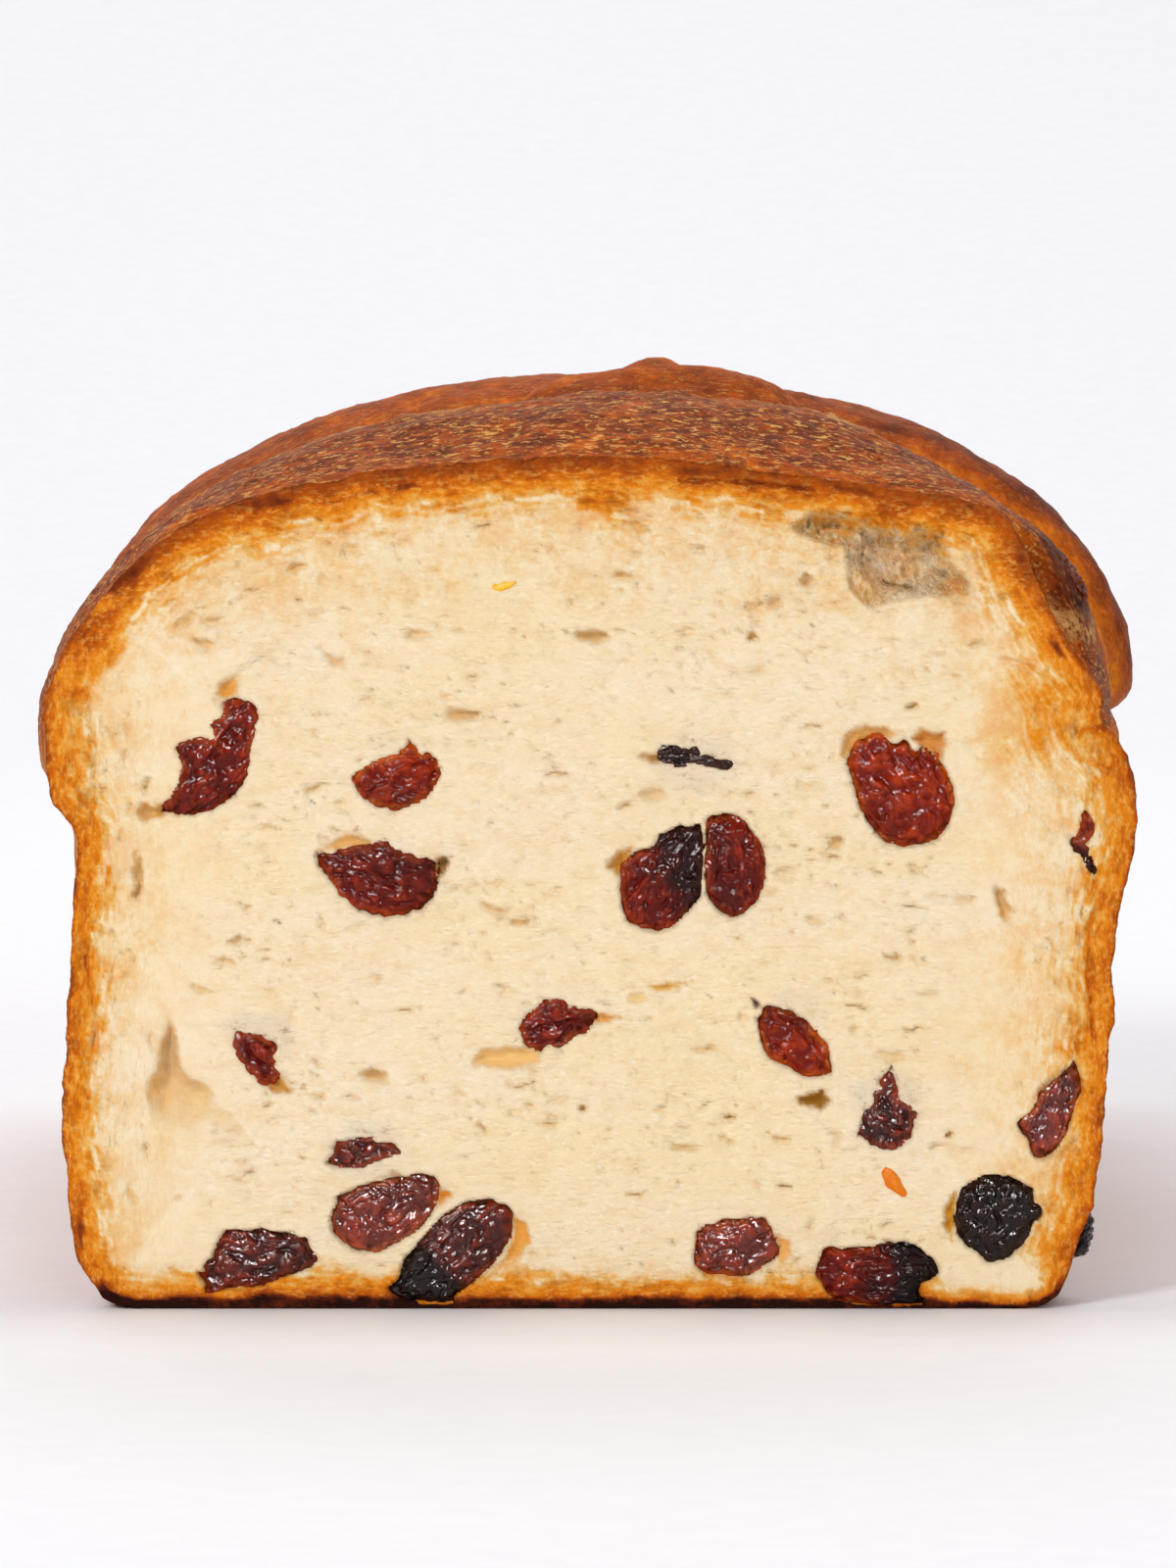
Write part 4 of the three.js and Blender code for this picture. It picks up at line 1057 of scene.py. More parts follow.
# the grain: pores drawn out sideways in the middle, and upwards beside the tin
upright = ease(np.abs(face_x), 38, 55) * (1 - ease(face_z, 66, 86))
pulled = np.stack([1.2 * noise(face, 4.0, 20.1), face_x * 0, 0.9 * noise(face, 3.2, 20.9)], axis=1)


def pores(length, height, seed):
    """Drawn-out cells, from about -1 in a pore to 1 on the walls between pores."""
    lying = noise(face + pulled, (length, 1, height), seed)
    standing = noise(face + pulled, (height, 1, length), seed + 0.5)
    return lying * (1 - upright) + standing * upright


coarse = pores(2.9, 1.25, 21.0)
middling = pores(1.5, 0.72, 23.0)
fine = pores(0.95, 0.50, 25.0)
relief = 0.15 * cloud(face, 13, 2, 27.0) + 0.10 * coarse + 0.09 * middling + 0.07 * fine
openness = 0.04 + 0.14 * cloud(face, (16, 1, 9), 2, 29.0)
pit_depth = np.zeros(len(face))
for cells, sparse, depth in ((coarse, 0.52, 0.85), (middling, 0.46, 0.55), (fine, 0.44, 0.34)):
    pit_depth = np.maximum(pit_depth, depth * ease(-cells + openness, sparse, sparse + 0.42))

LARGE_PITS = [
    # x, z, half length, half height, lean, depth: holes that show as single dark or tan slits
    (0.1, 76.2, 2.2, 0.8, -4, 1.4), (-14.2, 67.3, 2.3, 0.7, 6, 1.2), (-21.0, 34.0, 1.4, 0.4, 4, 0.8),
    (46.4, 46.0, 2.4, 0.9, -72, 1.6), (-24.4, 26.5, 1.8, 0.7, -12, 1.3), (20.7, 80.0, 1.1, 0.9, 0, 1.2),
    (24.3, 82.5, 0.9, 0.8, 0, 1.2), (18.2, 76.2, 0.8, 0.7, 0, 1.1), (27.6, 53.0, 0.9, 0.7, 0, 1.1),
    (-51.0, 49.0, 3.2, 0.6, 88, 1.4), (3.8, 83.0, 1.6, 0.6, 0, 1.0), (36.2, 68.3, 0.8, 0.4, 20, 1.2),
    (40.5, 19.7, 0.6, 0.4, 0, 1.2), (15.7, 21.8, 0.7, 0.4, 10, 1.1), (-0.9, 22.8, 0.7, 0.4, 0, 1.1),
    (-33.0, 84.0, 1.6, 0.5, 20, 0.9), (12.0, 86.0, 1.4, 0.5, -8, 0.9), (-8.0, 44.0, 1.5, 0.5, 8, 0.9),
    (34.0, 40.0, 1.3, 0.5, -10, 0.9), (-12.0, 88.6, 1.3, 0.4, 6, 0.8), (22.0, 14.0, 1.2, 0.4, 0, 0.9),
    (-40.0, 42.0, 1.2, 0.5, 30, 0.9),
]
PIT_COUNT = 240
pit_draws = np.random.default_rng(5)
pits = list(LARGE_PITS)
for _ in range(PIT_COUNT):
    half = 0.45 + 1.1 * pit_draws.random() ** 2.6
    x, z = pit_draws.uniform(-60, 60), pit_draws.uniform(1, 96)
    lean = pit_draws.normal(0, 16) + (90 if abs(x) > 48 and z < 78 else 0)
    pits.append((x, z, half * 1.3, half * pit_draws.uniform(0.3, 0.6), lean,
                 min(half * pit_draws.uniform(0.3, 0.8), 0.9)))
wander_x = 0.45 * noise(face, 1.4, 31.0) + 0.20 * noise(face, 0.6, 32.0)
wander_z = 0.36 * noise(face, 1.2, 33.0) + 0.16 * noise(face, 0.6, 34.0)
wandered_x = face_x + wander_x
wandered_z = face_z + wander_z


def near_to(low_x, high_x, low_z, high_z, margin):
    """Which places of the face lie in a rectangle or within a margin round it."""
    beside = (face_x > low_x - margin) & (face_x < high_x + margin)
    return np.flatnonzero(beside & (face_z > low_z - margin) & (face_z < high_z + margin))


for x, z, half_length, half_height, lean, depth in pits:
    near = near_to(x, x, z, z, half_length * 1.6)
    along, beside = turned(wandered_x[near] - x, wandered_z[near] - z, -lean)
    bowl = depth * ease(1.15 - np.hypot(along / half_length, beside / half_height), 0, 0.7)
    pit_depth[near] = np.maximum(pit_depth[near], bowl)


def round_outline(corners, margin):
    """Which places lie in or near a closed outline, and how far inside it each of them is."""
    (low_x, low_z), (high_x, high_z) = np.min(corners, axis=0), np.max(corners, axis=0)
    near = near_to(low_x, high_x, low_z, high_z, margin)
    return near, inside_loop(face_x[near], face_z[near], corners)


# sockets: inside each raisin's torn edge the crumb drops away behind it, and painted contact shade fades out
# round its edge
SOCKET_DEPTH = 3.4
LIP_OFFSET = 0.55                       # from the socket's edge to the lip's crest
LIP_WIDTH = 0.5
CONTACT_SHADE_REACH = 1.2
FRAYED = (4, 8)                         # thin slices of raisin, whose edges the crumb frays most
jag = 0.26 * noise(face, 0.9, 41.0) + 0.16 * noise(face, 0.45, 43.0)
socket = np.zeros(len(face))
lip = np.zeros(len(face))
contact_shade = np.zeros(len(face))
for number, corners in SHOWN.items():
    near, within = round_outline(corners, 4)
    ragged = 0.5 if number in BARED else 1.7 if number in FRAYED else 1.0
    socket[near] = np.maximum(socket[near], SOCKET_DEPTH * ease(within + ragged * jag[near], 0.0, 0.5))
    outside = np.clip(-within, 0, None)
    lip[near] = np.maximum(lip[near], np.exp(-((outside - LIP_OFFSET) / LIP_WIDTH) ** 2) * (within < 0.2))
    # painted contact shade round the raisin, fading out from its edge
    contact_shade[near] = np.maximum(contact_shade[near], np.exp(-outside / CONTACT_SHADE_REACH))

# gaps that opened beside the raisins as the dough rose: corners, depth and the wall's colour, which is partly
# its own amber and partly painted shade
GAPS = [
    ([(-48.2, 57.4), (-49.6, 57.1), (-50.5, 57.6), (-51.3, 56.0), (-50.5, 55.3), (-48.0, 55.9)],
     1.4, (176, 116, 30)),
    ([(-42.4, 69.6), (-41.6, 71.0), (-39.6, 71.7), (-39.6, 69.6), (-41.0, 69.0)], 1.0, (205, 140, 50)),
    ([(-17.6, 51.3), (-16.3, 51.5), (-15.7, 50.6), (-16.5, 49.4), (-17.3, 48.1), (-17.8, 49.8)],
     1.8, (128, 84, 14)),
    ([(-30.8, 52.0), (-28.6, 53.6), (-26.5, 54.1), (-24.7, 53.3), (-24.7, 52.5), (-27.2, 52.1)],
     0.8, (206, 156, 90)),
    ([(4.8, 62.9), (6.8, 63.1), (8.0, 62.9), (8.3, 61.9), (7.0, 61.8), (5.8, 62.3)], 1.1, (150, 96, 30)),
    ([(1.6, 50.1), (3.0, 51.9), (4.8, 52.8), (4.4, 50.8), (3.8, 48.8), (3.1, 49.2)], 1.6, (196, 134, 30)),
    ([(28.0, 62.4), (28.1, 64.6), (29.0, 65.7), (31.0, 66.2), (33.2, 66.1), (34.8, 65.3), (33.0, 64.4),
      (29.8, 63.0)], 1.2, (206, 146, 70)),
    ([(36.0, 64.6), (37.2, 66.0), (38.3, 65.3), (39.9, 65.5), (39.9, 63.6), (39.4, 62.0), (37.6, 63.4)],
     1.6, (196, 122, 30)),
    ([(-37.0, 25.6), (-36.2, 26.8), (-34.9, 26.4), (-34.5, 25.4), (-33.3, 25.0), (-33.8, 24.4),
      (-36.2, 24.6)], 1.3, (178, 120, 30)),
    ([(0.0, 33.8), (1.6, 33.7), (3.7, 33.2), (2.0, 32.6), (0.4, 32.3)], 1.0, (210, 148, 72)),
    ([(-13.6, 27.8), (-12.4, 29.6), (-9.0, 29.9), (-6.0, 29.6), (-5.7, 28.0), (-9.0, 27.2)],
     1.1, (222, 176, 112)),
    ([(23.3, 24.0), (24.6, 24.5), (26.2, 25.0), (27.3, 23.7), (26.2, 22.5), (23.4, 23.2)],
     1.5, (150, 104, 34)),
    ([(53.2, 16.8), (54.6, 17.5), (55.6, 19.8), (54.4, 19.6), (52.4, 17.6)], 1.0, (196, 120, 30)),
    ([(-17.4, 13.7), (-16.2, 13.5), (-15.2, 13.2), (-16.6, 12.0), (-17.4, 11.4)], 1.2, (205, 130, 40)),
    ([(-8.9, 10.8), (-7.1, 9.7), (-6.7, 7.7), (-8.2, 5.4), (-10.8, 3.4), (-13.2, 1.8), (-14.8, 1.3),
      (-12.2, 3.2), (-9.8, 6.0), (-8.9, 8.2)], 1.0, (214, 152, 70)),
    ([(21.0, 8.5), (22.7, 7.7), (22.7, 6.0), (21.3, 4.8)], 0.8, (222, 160, 90)),
    ([(41.4, 13.6), (40.2, 12.1), (39.8, 9.6), (40.9, 7.4), (41.4, 10.0)], 1.2, (190, 134, 40)),
    ([(49.4, 6.8), (51.2, 8.6), (51.6, 10.2), (50.4, 9.6)], 1.0, (190, 120, 40)),
    ([(49.6, 23.6), (50.4, 25.2), (52.4, 26.9), (54.2, 28.4), (53.4, 26.6), (51.0, 24.2)],
     0.8, (150, 92, 44)),
    ([(6.4, 36.7), (7.6, 36.2), (9.6, 36.3), (11.4, 37.3), (10.4, 37.1), (8.6, 37.1)], 1.0, (200, 150, 56)),
    ([(4.0, 35.0), (4.6, 35.9), (5.8, 36.0), (6.6, 35.4), (5.2, 34.5)], 0.6, (226, 188, 130)),
    ([(18.0, 35.4), (18.8, 35.3), (19.1, 34.4), (18.6, 33.9), (18.2, 34.6)], 0.5, (58, 30, 28)),
]
wall_tint = np.ones((len(face), 3)) * (220, 176, 116)
opened = np.zeros(len(face))
gap_depth = np.zeros(len(face))
for corners, depth, tint in GAPS:
    near, within = round_outline(corners, 2)
    within += 0.9 * jag[near]
    share = ease(within, -0.25, 0.35)
    gap_depth[near] = np.maximum(gap_depth[near], depth * ease(within, -0.3, 0.9))
    wall_tint[near] += (np.minimum(np.array(tint) * 1.1, 240) - wall_tint[near]) * share[:, None]
    opened[near] = np.maximum(opened[near], share)

# the burst bubble, its beady walls and the flap left in its mouth, and the torn hollow; their walls are
# painted darker at the top as shade, and the slit is painted dark as shade
BUBBLE_MOUTH = 1.4                      # how deep each opening drops at its edge, and then further in
BUBBLE_DEPTH = 4.2
FLAP_DEPTH = 1.0
SLIT_DEPTH = 1.6
TEAR_MOUTH = 0.5
TEAR_DEPTH = 2.0
BUBBLE = [(22.0, 88.3), (24.0, 89.6), (26.0, 90.4), (29.0, 90.2), (33.0, 90.0), (36.0, 89.0), (40.0, 88.7),
          (40.6, 87.5), (40.5, 85.2), (42.0, 83.7), (43.1, 82.5), (42.8, 80.3), (40.0, 80.1), (37.0, 80.5),
          (34.0, 80.1), (31.5, 79.4), (29.4, 80.9), (28.9, 82.2), (28.7, 84.2), (28.4, 86.1), (26.5, 86.3),
          (24.5, 87.2)]
# the bubble's wall colours, darker under its crusted top as painted shade
BUBBLE_WALLS = [(23.5, 89.0, (124, 84, 40)), (27.0, 88.2, (148, 122, 96)), (31.5, 87.2, (176, 156, 128)),
                (33.0, 84.6, (222, 206, 180)), (36.5, 86.2, (196, 172, 130)), (38.2, 83.4, (214, 190, 148)),
                (39.8, 86.8, (146, 104, 56)), (42.0, 82.0, (196, 160, 116)), (30.5, 81.6, (230, 166, 88)),
                (36.5, 80.9, (234, 202, 156)), (40.5, 80.9, (222, 182, 130)), (30.0, 89.6, (138, 92, 42)),
                (35.5, 88.8, (150, 100, 46))]
FLAP = [(28.8, 84.6), (28.9, 82.3), (29.5, 80.9), (31.3, 79.4), (33.4, 80.1), (31.8, 82.2), (30.2, 84.2)]
SLIT = [(33.1, 82.1), (34.6, 81.6), (36.4, 81.4)]
TEAR = [(-47.7, 33.3), (-46.9, 32.3), (-46.4, 30.0), (-46.2, 28.0), (-45.6, 26.8), (-44.8, 26.2),
        (-43.5, 25.8), (-42.6, 24.8), (-42.2, 23.5), (-41.0, 22.5), (-39.6, 21.0), (-38.6, 18.6),
        (-42.0, 18.4), (-46.0, 19.2), (-48.2, 20.6), (-49.4, 21.5), (-50.1, 23.0), (-50.2, 25.0),
        (-49.9, 26.5), (-49.2, 27.5), (-49.0, 30.0), (-48.2, 31.6)]
# the hollow's wall colours, darker at its top as painted shade
TEAR_WALLS = [(-47.7, 32.0, (200, 145, 80)), (-48.0, 29.0, (205, 160, 100)), (-46.2, 25.4, (222, 180, 120)),
              (-49.4, 24.0, (222, 165, 82)), (-42.6, 23.6, (226, 186, 108)), (-44.5, 22.0, (236, 202, 146)),
              (-41.0, 20.0, (242, 214, 164)), (-47.4, 20.6, (240, 206, 152))]


def wall_colour(places):
    """Colours blended between named places on a wall, nearest first."""
    weights = np.stack([1 / (0.4 + (face_x - x) ** 2 + (face_z - z) ** 2) ** 2 for x, z, _ in places], axis=1)
    return (weights @ np.array([tint for _, _, tint in places], float)) / weights.sum(axis=1, keepdims=True)


def inside_opening(corners):
    """How far inside an opening each place lies, with the outline smoothed between its corners."""
    return inside_loop(face_x, face_z, smooth_line(corners + corners[:1], 4).tolist())


bubble_inside = inside_opening(BUBBLE) + 0.5 * jag
in_bubble = ease(bubble_inside, -0.2, 0.3 + 0.9 * ease(face_x, 36, 41))
membranes = np.clip(1 - np.abs(noise(face, (1.0, 1, 4.0), 51.0)) * 2.4, 0, 1)
beads = np.clip(noise(face, 1.1, 53.0) * 1.8, -0.6, 1)
bubble_floor = BUBBLE_MOUTH + BUBBLE_DEPTH * ease(bubble_inside, 0, 3.4) - 1.1 * membranes - 0.6 * beads
in_flap = ease(inside_loop(face_x, face_z, FLAP) + 0.5 * jag, -0.1, 0.6)
bubble_floor = bubble_floor * (1 - in_flap) + (FLAP_DEPTH + 0.3 * beads) * in_flap
slit = 1 - ease(line_distance(face_x, face_z, SLIT) + 0.4 * jag, 0.12, 0.45)
tear_inside = inside_opening(TEAR) + 0.6 * jag
in_tear = ease(tear_inside, -0.25, 0.6) * ease(face_z + 3 * noise(face, 2.2, 55.0), 18.0, 25.0)
tear_floor = TEAR_MOUTH + TEAR_DEPTH * ease(tear_inside, 0, 2.0) * ease(face_z, 19, 27) + 0.25 * coarse
strands = (0.84 + 0.24 * membranes + 0.06 * beads)[:, None]
greyed = wall_colour(BUBBLE_WALLS) * (0.97, 1.0, 1.08) * strands
wall_tint += (np.minimum(greyed, 236) - wall_tint) * in_bubble[:, None]
# the slit is painted dark brown as its shade
wall_tint += (np.array((58, 34, 20)) - wall_tint) * slit[:, None]
wall_tint += (wall_colour(TEAR_WALLS) - wall_tint) * (in_tear * (1 - in_bubble))[:, None]
opened = np.maximum(opened, np.maximum(in_bubble, in_tear * 0.9))

# fine grooves where the skin of the dough curled or split
GROOVES = [
    ([(57.4, 65.9), (55.4, 65.5), (54.4, 64.3), (54.6, 63.2), (55.6, 62.4), (57.0, 61.6), (58.2, 61.0)],
     0.32),
    ([(-41.5, 70.6), (-40.0, 71.7), (-38.3, 73.0), (-36.4, 74.1), (-34.0, 74.1)], 0.22),
    ([(46.5, 73.6), (49.5, 72.6)], 0.25), ([(-56.6, 70.4), (-55.6, 62.0), (-56.2, 55.0)], 0.2),
    ([(56.4, 45.0), (56.0, 38.0), (56.8, 31.0)], 0.2), ([(-52.6, 88.0), (-47.0, 90.6), (-41.0, 92.6)], 0.2),
    ([(10.0, 93.6), (18.0, 93.4), (25.0, 92.6)], 0.18), ([(-57.0, 40.0), (-55.9, 33.0), (-56.8, 24.0)], 0.2),
]
groove = np.zeros(len(face))
for corners, width in GROOVES:
    aside = line_distance(face_x, face_z, corners) + 0.5 * jag
    groove = np.maximum(groove, 1 - ease(aside, width * 0.4, width * 2.0))

# the relief of the face: shallow grain all over, and below it the deepest of what opened there
BAND_WIDTH = 4.5
GROOVE_DEPTH = 0.55
LIP_HEIGHT = 0.10
band = 1 - ease(rim_distance, 0.4, BAND_WIDTH)
relief = relief * (1 - 0.5 * band) + band * (0.16 * streaks + 0.05 * noise(face, 0.7, 67.0))
relief = (relief + LIP_HEIGHT * lip - GROOVE_DEPTH * groove) * ease(rim_distance, 0.0, 0.7)
burst_floor = in_bubble * bubble_floor + SLIT_DEPTH * slit
opened_floors = [pit_depth * (1 - 0.75 * band), gap_depth, burst_floor, in_tear * tear_floor, socket]
hollowed = np.max(opened_floors, axis=0)
face[:, 1] = hollowed * ease(rim_distance, 0.0, 0.5) - relief

# the slab behind the face, which the crust's hollow holds
SLAB_LIP = 0.6
SLAB_LIP_DEPTH = 0.7
SLAB_GAP = 0.5                          # left between the slab and the bottom of the hollow
count = CRUMB_ROWS * CRUMB_COLUMNS
grid = np.arange(count).reshape(CRUMB_ROWS, CRUMB_COLUMNS)
loop = np.concatenate([grid[0], grid[1:, -1], grid[-1, -2::-1], grid[-2:0:-1, 0]])
edge_points = face[loop]
outwards = out_from_axis(edge_points)
behind = (edge_points - outwards * SLAB_LIP) * (1, 0, 1)
slab_back = behind - outwards * HOLLOW_TAPER + (0, HOLLOW_DEPTH - SLAB_GAP, 0)
walls = np.concatenate([behind + (0, SLAB_LIP_DEPTH, 0), slab_back])
front_ring = count + np.arange(len(loop))
back_ring = front_ring + len(loop)
faces = grid_faces(CRUMB_ROWS, CRUMB_COLUMNS, False)[:, ::-1].tolist()
for outer, inner in ((loop, front_ring), (front_ring, back_ring)):
    faces += np.stack([outer, np.roll(outer, -1), np.roll(inner, -1), inner], axis=1).tolist()
crumb = new_piece("crumb", np.concatenate([face, walls]), faces)
close_shell(crumb)

# how the heat went in from the edge: deep under the crown, thin at the tin, scorched at the base
wavy = 0.34 * cloud(face * (1, 0, 1), 5.5, 2, 61.0) + 0.14 * noise(face, 1.6, 63.0)
shoulder = 1 + 0.3 * ease(nearest[:, 2], 50, 58) * (1 - ease(nearest[:, 2], 66, 76))
into = np.maximum(rim_distance / shoulder * (1 + wavy) + 0.25 * streaks * ease(rim_distance, 0.3, 1.5), 0)
into_base = into * (1 + 0.9 * ease(face_x, 37, 43))

# how far in from the edge, and how browned there
TOP_BROWNED = [(0, 0.66), (0.4, 0.64), (1.3, 0.55), (2.2, 0.42), (3.2, 0.27), (4.4, 0.15), (6.5, 0.095),
               (11, 0.07), (20, 0.02)]
SIDE_BROWNED = [(0, 0.68), (0.25, 0.53), (0.6, 0.38), (1.6, 0.315), (2.4, 0.235), (3.2, 0.155),
                (4.6, 0.095), (8, 0.06), (16, 0.02)]
BASE_BROWNED = [(0, 1.0), (1.0, 0.98), (1.35, 0.52), (1.8, 0.34), (2.5, 0.26), (3.3, 0.17), (4.4, 0.09),
                (6, 0)]
top_browned = np.interp(into, *zip(*TOP_BROWNED))
side_browned = np.interp(into, *zip(*SIDE_BROWNED))
base_browned = np.interp(into_base, *zip(*BASE_BROWNED))
side_browned += 0.03 * ease(face_x, 36, 50) * (1 - ease(into, 14, 26))
browned = top_browned * above + side_browned * (1 - above)
browned = browned * (1 - below) + base_browned * below
half_browned = ease(browned, 0.05, 0.2) * (1 - ease(browned, 0.5, 0.62))
browned += 0.17 * streaks * half_browned + 0.16 * groove * ease(browned, 0.1, 0.3)

# places in the band that baked darker or stayed pale: middle, half length, half width, lean and
# how much
BLOTCHES = [
    (-36.0, 91.2, 2.2, 0.7, 8, 0.15), (-51.5, 83.3, 2.8, 0.8, 42, 0.20), (-20.5, 93.0, 1.8, 0.35, 10, 0.22),
    (-25.0, 92.2, 1.4, 0.35, 8, 0.20), (-15.5, 92.3, 1.0, 0.25, 30, 0.20), (-55.0, 75.0, 3.4, 2.0, 60, 0.14),
    (-55.5, 79.6, 3.5, 0.9, 20, -0.22), (-38.5, 87.0, 2.2, 1.2, -50, 0.12), (-58.3, 59.8, 0.7, 0.6, 0, 0.20),
    (-58.0, 70.0, 0.9, 0.4, 0, 0.20), (-57.8, 9.5, 3.5, 0.35, 86, 0.25), (52.3, 74.8, 1.4, 0.4, -50, 0.28),
    (48.0, 67.0, 6.0, 4.0, 70, 0.05), (12.0, 94.6, 2.4, 0.5, 0, 0.12), (30.0, 92.4, 2.6, 0.4, -12, 0.14),
    (56.4, 36.0, 3.0, 0.5, 88, 0.10), (-57.0, 44.0, 4.0, 0.5, 90, 0.10), (57.0, 20.0, 3.4, 0.4, 86, 0.10),
]
for x, z, half_length, half_width, lean, amount in BLOTCHES:
    along, beside = turned(wandered_x - x, wandered_z - z, -lean)
    browned += amount * (1 - ease(np.hypot(along / half_length, beside / half_width), 0.5, 1.5))

# greyish crumb, marked and specked by the raisins torn out of it: middle, radius, strength; under these
# stains lies the painted contact shade round every raisin
STAINS = [
    (11.5, 62.0, 5.5, 0.8), (-37.5, 31.0, 4.6, 1.0), (33.6, 24.2, 4.6, 0.9), (-25.8, 17.8, 5.4, 0.8),
    (23.0, 33.8, 4.6, 0.5), (-24.0, 47.0, 6.0, 0.4), (-5.0, 32.5, 5.0, 0.5), (-21.0, 62.0, 5.0, 0.4),
]
# first the painted contact shade round every raisin, then the stains
stains_and_contact_shade = contact_shade * 0.25
for x, z, radius, strength in STAINS:
    reach = np.hypot(face_x - x, (face_z - z) * 1.3) + 1.6 * noise(face, 2.4, 69.0)
    stains_and_contact_shade = np.maximum(stains_and_contact_shade, strength * (1 - ease(reach, radius * 0.45, radius * 1.15)))


beady = in_bubble * np.exp(-(((face_x - 32.5) / 4.5) ** 2 + ((face_z - 85.4) / 3.0) ** 2))
# the hollowed layer holds how deep the pits and sockets go, which the material paints as shade
crumb_layers = {
    "browned": np.clip(browned, 0, 1),
    "hollowed": np.clip(pit_depth + 0.4 * np.clip(socket, 0, 2), 0, 2),
    "stains_and_contact_shade": stains_and_contact_shade,
    "opened": opened,
    "burst": in_bubble,
    "beady": beady,
    "upright": upright,
}
for layer_name, values in crumb_layers.items():
    on_walls = 0.3 if layer_name == "browned" else 0.0
    paint(crumb, layer_name, np.concatenate([values, np.full(len(walls), on_walls)]))
wall_layer = crumb.data.attributes.new("wall", "FLOAT_COLOR", "POINT")
wall_colours = np.ones((len(face) + len(walls), 4), np.float32)
wall_colours[:len(face), :3] = linear(wall_tint / 255)
wall_layer.data.foreach_set("color", wall_colours.ravel())

crumb_look, tree, shader = new_material("cream_crumb")
place_here = object_place()
lying = drawn_out(place_here, (0.45, 1.0, 1.0))
standing = drawn_out(place_here, (1.0, 1.0, 0.45))
hanging = drawn_out(place_here, (1.0, 1.0, 0.3))


def grain_noise(scale, detail=3.0, roughness=0.6):
    """Fine grain that lies sideways in the middle of the loaf and stands beside the tin."""
    sockets = {0: layer("upright"), 2: speckle(lying, scale, detail, roughness),
               3: speckle(standing, scale, detail, roughness)}
    return shader_node(tree, "ShaderNodeMix", sockets).outputs[0]


fibres = grain_noise(2400.0)
specks = grain_noise(950.0)
pore_specks = grain_noise(520.0, 4.0, 0.7)
# cream grain, turning tan as painted shade the deeper the pits and sockets go
cream = mixed(ranged(speckle(lying, 110.0), 0.38, 0.62), colour(250, 231, 200), colour(249, 227, 184))
for mask, tint in ((ranged(pore_specks, 0.50, 0.66, 0.0, 0.50), (240, 208, 154)),
                   (ranged(specks, 0.50, 0.68, 0.0, 0.38), (243, 214, 166)),
                   (ranged(fibres, 0.38, 0.66, 0.0, 0.30), (243, 218, 174)),
                   (ranged(fibres, 0.44, 0.30, 0.0, 0.5), (255, 243, 222)),
                   (ranged(layer("hollowed"), 0.05, 1.5), (216, 172, 104)),
                   (ranged(layer("stains_and_contact_shade"), 0.0, 1.0, 0.0, 0.7), (226, 208, 184))):
    cream = mixed(mask, cream, colour(*tint))
crumbs = times(ranged(grain_noise(900.0, 4.0, 0.7), 0.56, 0.66), layer("stains_and_contact_shade"))
cream = mixed(times(crumbs, 0.6), cream, colour(140, 96, 66))

# the walls of what opened, with dark and pale threads and white beads in the burst bubble
wall_colour_here = shader_node(tree, "ShaderNodeAttribute", attribute_name="wall").outputs["Color"]
threads = speckle(hanging, 2000.0)
white_beads = ranged(speckle(place_here, 2500.0, 2.0, 0.5), 0.48, 0.56)
for mask, where, tint in ((ranged(threads, 0.48, 0.60, 0.0, 0.55), "burst", (112, 88, 58)),
                          (ranged(threads, 0.47, 0.38, 0.0, 0.65), "burst", (230, 218, 192)),
                          (times(white_beads, 0.7), "beady", (240, 230, 212))):
    wall_colour_here = mixed(times(mask, layer(where)), wall_colour_here, colour(*tint))
crumb_colour = mixed(layer("opened"), cream, wall_colour_here)

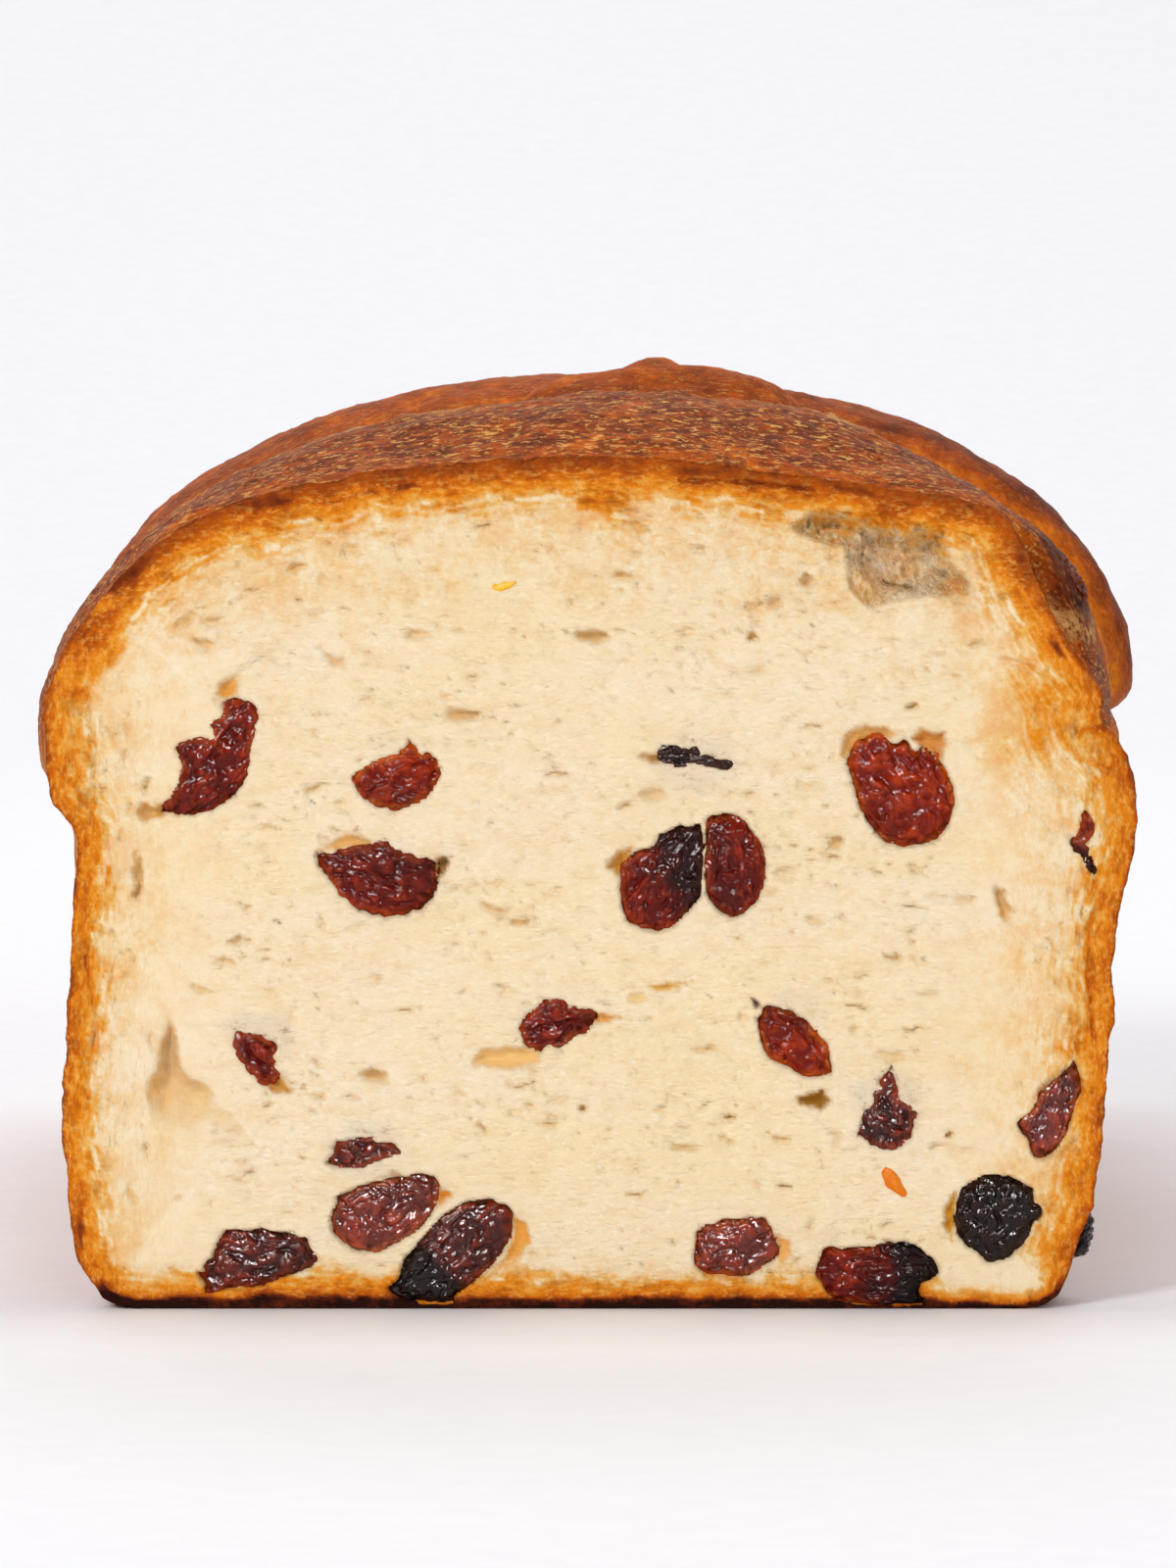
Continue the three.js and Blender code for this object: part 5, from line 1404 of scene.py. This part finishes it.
# the browned band is still crumb: pale fibres and darker pores run through it
baked_here = shader_node(tree, "ShaderNodeGroup", node_tree=browning)
tree.links.new(layer("browned"), baked_here.inputs["Browned"])
baked_here.inputs["Mottle"].default_value = 0.42
in_band = times(ranged(layer("browned"), 0.10, 0.25), ranged(layer("browned"), 0.68, 0.5))
band_colour = baked_here.outputs["Color"]
for mask, strength, tint in ((ranged(fibres, 0.50, 0.38), 0.36, (250, 192, 92)),
                             (ranged(pore_specks, 0.52, 0.64), 0.48, (150, 66, 10))):
    band_colour = mixed(times(times(mask, in_band), strength), band_colour, colour(*tint))
crumb_colour = mixed(ranged(layer("browned"), 0.0, 0.16), crumb_colour, band_colour)
finish_look(shader, crumb_colour, bumped(fibres, 0.7, 0.0004, bumped(specks, 0.7, 0.0005)),
            {"Roughness": 0.85, "Specular IOR Level": 0.05})
crumb.data.materials.append(crumb_look)
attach(crumb, "root")
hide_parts("loaf")

# ---- zest --------------------------------------------------------------------------------------
# Slivers of candied orange peel in the dough, two of which the cut laid bare.

# place across and up, length, width, lean and colour
ZEST = [((34.3, 14.3), 4.2, 1.7, -52, (216, 98, 8)), ((-9.7, 81.8), 3.0, 0.9, 12, (236, 168, 44))]
ZEST_HALF_THICKNESS = 0.45
ZEST_SINK = 0.15
ZEST_TAPER = 0.35
ZEST_BEND = 0.12
ZEST_GLOW = (30, 46, 20)                # how much paler the peel is in its pores

for index, ((x, z), length, width, lean, tint) in enumerate(ZEST, 1):
    bpy.ops.mesh.primitive_uv_sphere_add(segments=24, ring_count=12, radius=1)
    sliver = bpy.context.object
    sliver.name = f"zest_{index}"
    points = vertex_array(sliver.data.vertices)
    bend = ZEST_BEND * points[:, 0] ** 2 * width
    points[:, 2] *= 1 - ZEST_TAPER * points[:, 0]
    points = points * (length / 2, ZEST_HALF_THICKNESS, width / 2)
    points[:, 2] += bend
    points = points + 0.2 * drift(points, 0.9, (index + 0.2, index + 3.3, index + 6.4))
    across, up = turned(points[:, 0], points[:, 2], lean)
    move_points(sliver, to_metres(np.stack([x + across, ZEST_SINK + points[:, 1], z + up], axis=1)))
    bpy.ops.object.shade_smooth()
    look, tree, shader = new_material(f"candied_peel_{index}")
    pale = [min(value + step, 255) for value, step in zip(tint, ZEST_GLOW)]
    peel_pores = speckle(object_place(), 1400.0, 2.0, 0.5)
    finish_look(shader, mixed(peel_pores, colour(*tint), colour(*pale)), bumped(peel_pores, 0.4, 0.0002),
                {"Roughness": 0.4, "Specular IOR Level": 0.15})
    sliver.data.materials.append(look)
    sliver.select_set(False)
    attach(sliver, "root")
